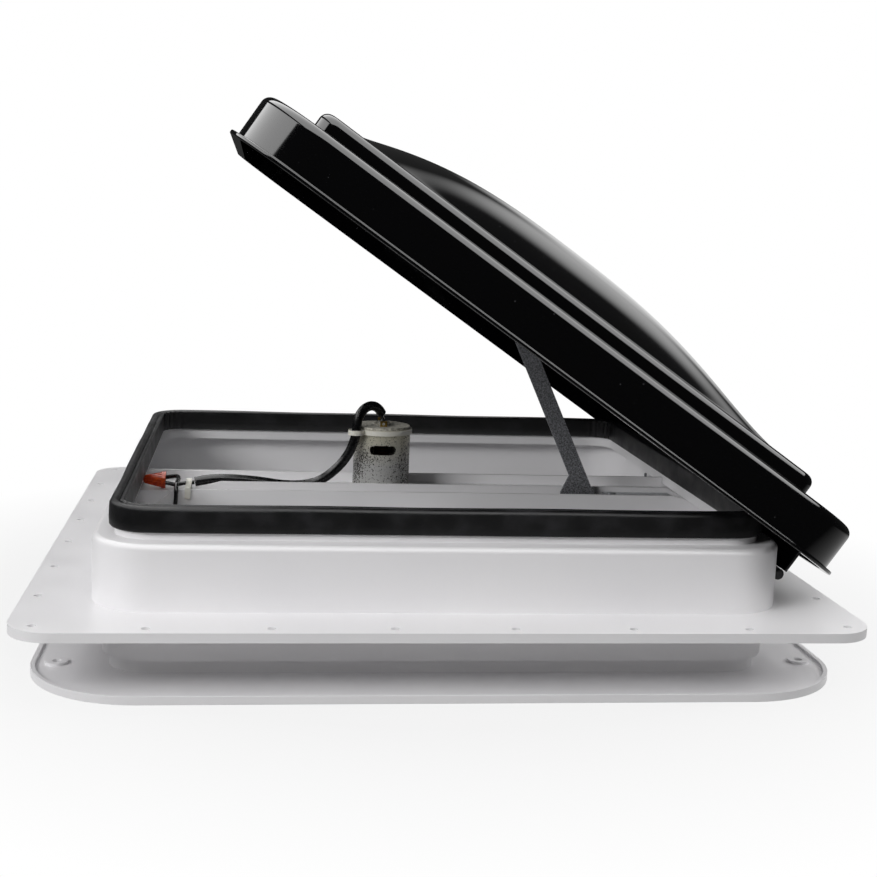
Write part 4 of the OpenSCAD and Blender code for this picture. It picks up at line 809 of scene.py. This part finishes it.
# Lamps: name, place and aim in metres, width, length and watts. The one on the left looks in under the lid.
LAMPS = [
    ("overhead", (0, 0.1, 1), (0, 0.1, 0), 2.4, 2, 10.5),
    ("left", (-1.1, -0.9, 0.75), (0.05, 0, 0.07), 0.7, 0.5, 12),
    ("front", (0.1, -1.1, 0.9), (0.05, 0, 0.07), 0.8, 0.4, 1.5),
    ("right", (1.15, -0.25, 0.65), (0, 0, 0.05), 0.8, 0.5, 5),
]


def make_floor():
    """A round floor that keeps the shadow, white at its rim for the eye; gloss sees it end in the dark."""
    grid = bmesh.new()
    bmesh.ops.create_circle(grid, cap_ends=True, radius=FLOOR_RADIUS, segments=FLOOR_SEGMENTS)
    mesh = bpy.data.meshes.new("floor")
    grid.to_mesh(mesh)
    grid.free()
    floor = bpy.data.objects.new("floor", mesh)
    floor.location.z = -FLOOR_DROP * MM
    scene.collection.objects.link(floor)
    material, tree, skin, place = start_material("pale_floor", Roughness=0.9, Base_Color=linear("#A4A4A4"))
    paths = add(tree, "LightPath", {}).node.outputs
    away = add(tree, "VectorMath", {0: place}, "Value", operation="LENGTH")
    plain = add(tree, "MapRange", {"Value": away, "From Min": WHITE_FROM, "From Max": WHITE_AT,
                                   "To Min": 1 - FLOOR_SHADE, "To Max": 1})
    for_eye = add(tree, "Math", {0: paths["Is Camera Ray"], 1: plain}, operation="MULTIPLY")
    gloss = add(tree, "Math", {0: paths["Is Glossy Ray"], 1: paths["Is Transmission Ray"]},
                operation="MAXIMUM")
    shown = add(tree, "Math", {0: for_eye, 1: gloss}, operation="MAXIMUM")
    dark = add(tree, "MapRange", {"Value": away, "From Min": GLOSS_NEAR, "From Max": GLOSS_FAR,
                                  "To Min": 1, "To Max": ROOM_GLOSS})
    strength = add(tree, "Mix", {0: paths["Is Camera Ray"], 2: dark, 3: 1.0}, data_type="FLOAT")
    white = add(tree, "Emission", {"Color": (1, 1, 1, 1), "Strength": strength})
    paint = tree.nodes["Principled BSDF"].outputs[0]
    surface = tree.nodes["Material Output"].inputs["Surface"]
    add(tree, "MixShader", {0: shown, 1: paint, 2: white}, to=surface)
    mesh.materials.append(material)
    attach(floor, "ring")


def make_surround():
    """A white surround for the eye. Gloss sees the studio: a dark room, two softboxes and a lit backdrop."""
    world = bpy.data.worlds.new("studio")
    scene.world = world
    world.use_nodes = True
    tree = world.node_tree
    paths = add(tree, "LightPath", {}).node.outputs
    aim = add(tree, "TexCoord", {}, out="Generated")
    parts = add(tree, "SeparateXYZ", {0: aim}).node.outputs
    up = add(tree, "Math", {0: parts["Z"], 1: LEAST_UP}, operation="MAXIMUM")
    sideways = add(tree, "Math", {0: parts["X"], 1: up}, operation="DIVIDE")
    along = add(tree, "Math", {0: parts["Y"], 1: up}, operation="DIVIDE")
    skewed = add(tree, "Math", {0: sideways, 1: BOX_SKEW, 2: along}, operation="MULTIPLY_ADD")
    studio = BOX_GLOSS
    half = (BOX_FAR - BOX_NEAR) / 2
    limits = ((sideways, 0, BOX_REACH, 1, 0), (skewed, (BOX_NEAR + BOX_FAR) / 2, half, 1, 0),
              (sideways, BOX_GAP_AT, BOX_GAP, 0, 1))
    for measure, middle, reach, within, beyond in limits:
        off = add(tree, "Math", {0: measure, 1: middle}, operation="SUBTRACT")
        off = add(tree, "Math", {0: off}, operation="ABSOLUTE")
        share = add(tree, "MapRange", {"Value": off, "From Min": reach, "From Max": reach + BOX_EDGE,
                                       "To Min": within, "To Max": beyond})
        studio = add(tree, "Math", {0: studio, 1: share}, operation="MULTIPLY")
    for glow_aim, edge, core in GLOWS:
        towards = add(tree, "VectorMath", {0: aim, 1: glow_aim}, "Value", operation="DOT_PRODUCT")
        glow = add(tree, "MapRange", {"Value": towards, "From Min": edge, "From Max": core,
                                      "To Min": ROOM_GLOSS / len(GLOWS), "To Max": GLOW_GLOSS},
                   interpolation_type="SMOOTHSTEP")
        studio = add(tree, "Math", {0: studio, 1: glow}, operation="ADD")
    gloss = add(tree, "Math", {0: paths["Is Glossy Ray"], 1: paths["Is Transmission Ray"]},
                operation="MAXIMUM")
    shown = add(tree, "Mix", {0: gloss, 2: AMBIENT, 3: studio}, data_type="FLOAT")
    back = tree.nodes["Background"].inputs
    back["Color"].default_value = (1, 1, 1, 1)
    add(tree, "Mix", {0: paths["Is Camera Ray"], 2: shown, 3: 1.0}, to=back["Strength"], data_type="FLOAT")


def softbox(name, place, aim, width, length, watts):
    """A soft lamp. Gloss doesn't see it, because the surround already shows it there."""
    lamp = bpy.data.lights.new(name, "AREA")
    lamp.shape = "RECTANGLE"
    lamp.size, lamp.size_y = width, length
    lamp.energy = watts
    box = bpy.data.objects.new(name, lamp)
    box.location = place
    box.rotation_euler = (Vector(aim) - Vector(place)).to_track_quat("-Z", "Y").to_euler()
    box.visible_glossy = False
    scene.collection.objects.link(box)


make_floor()
make_surround()
for lamp in LAMPS:
    softbox(*lamp)
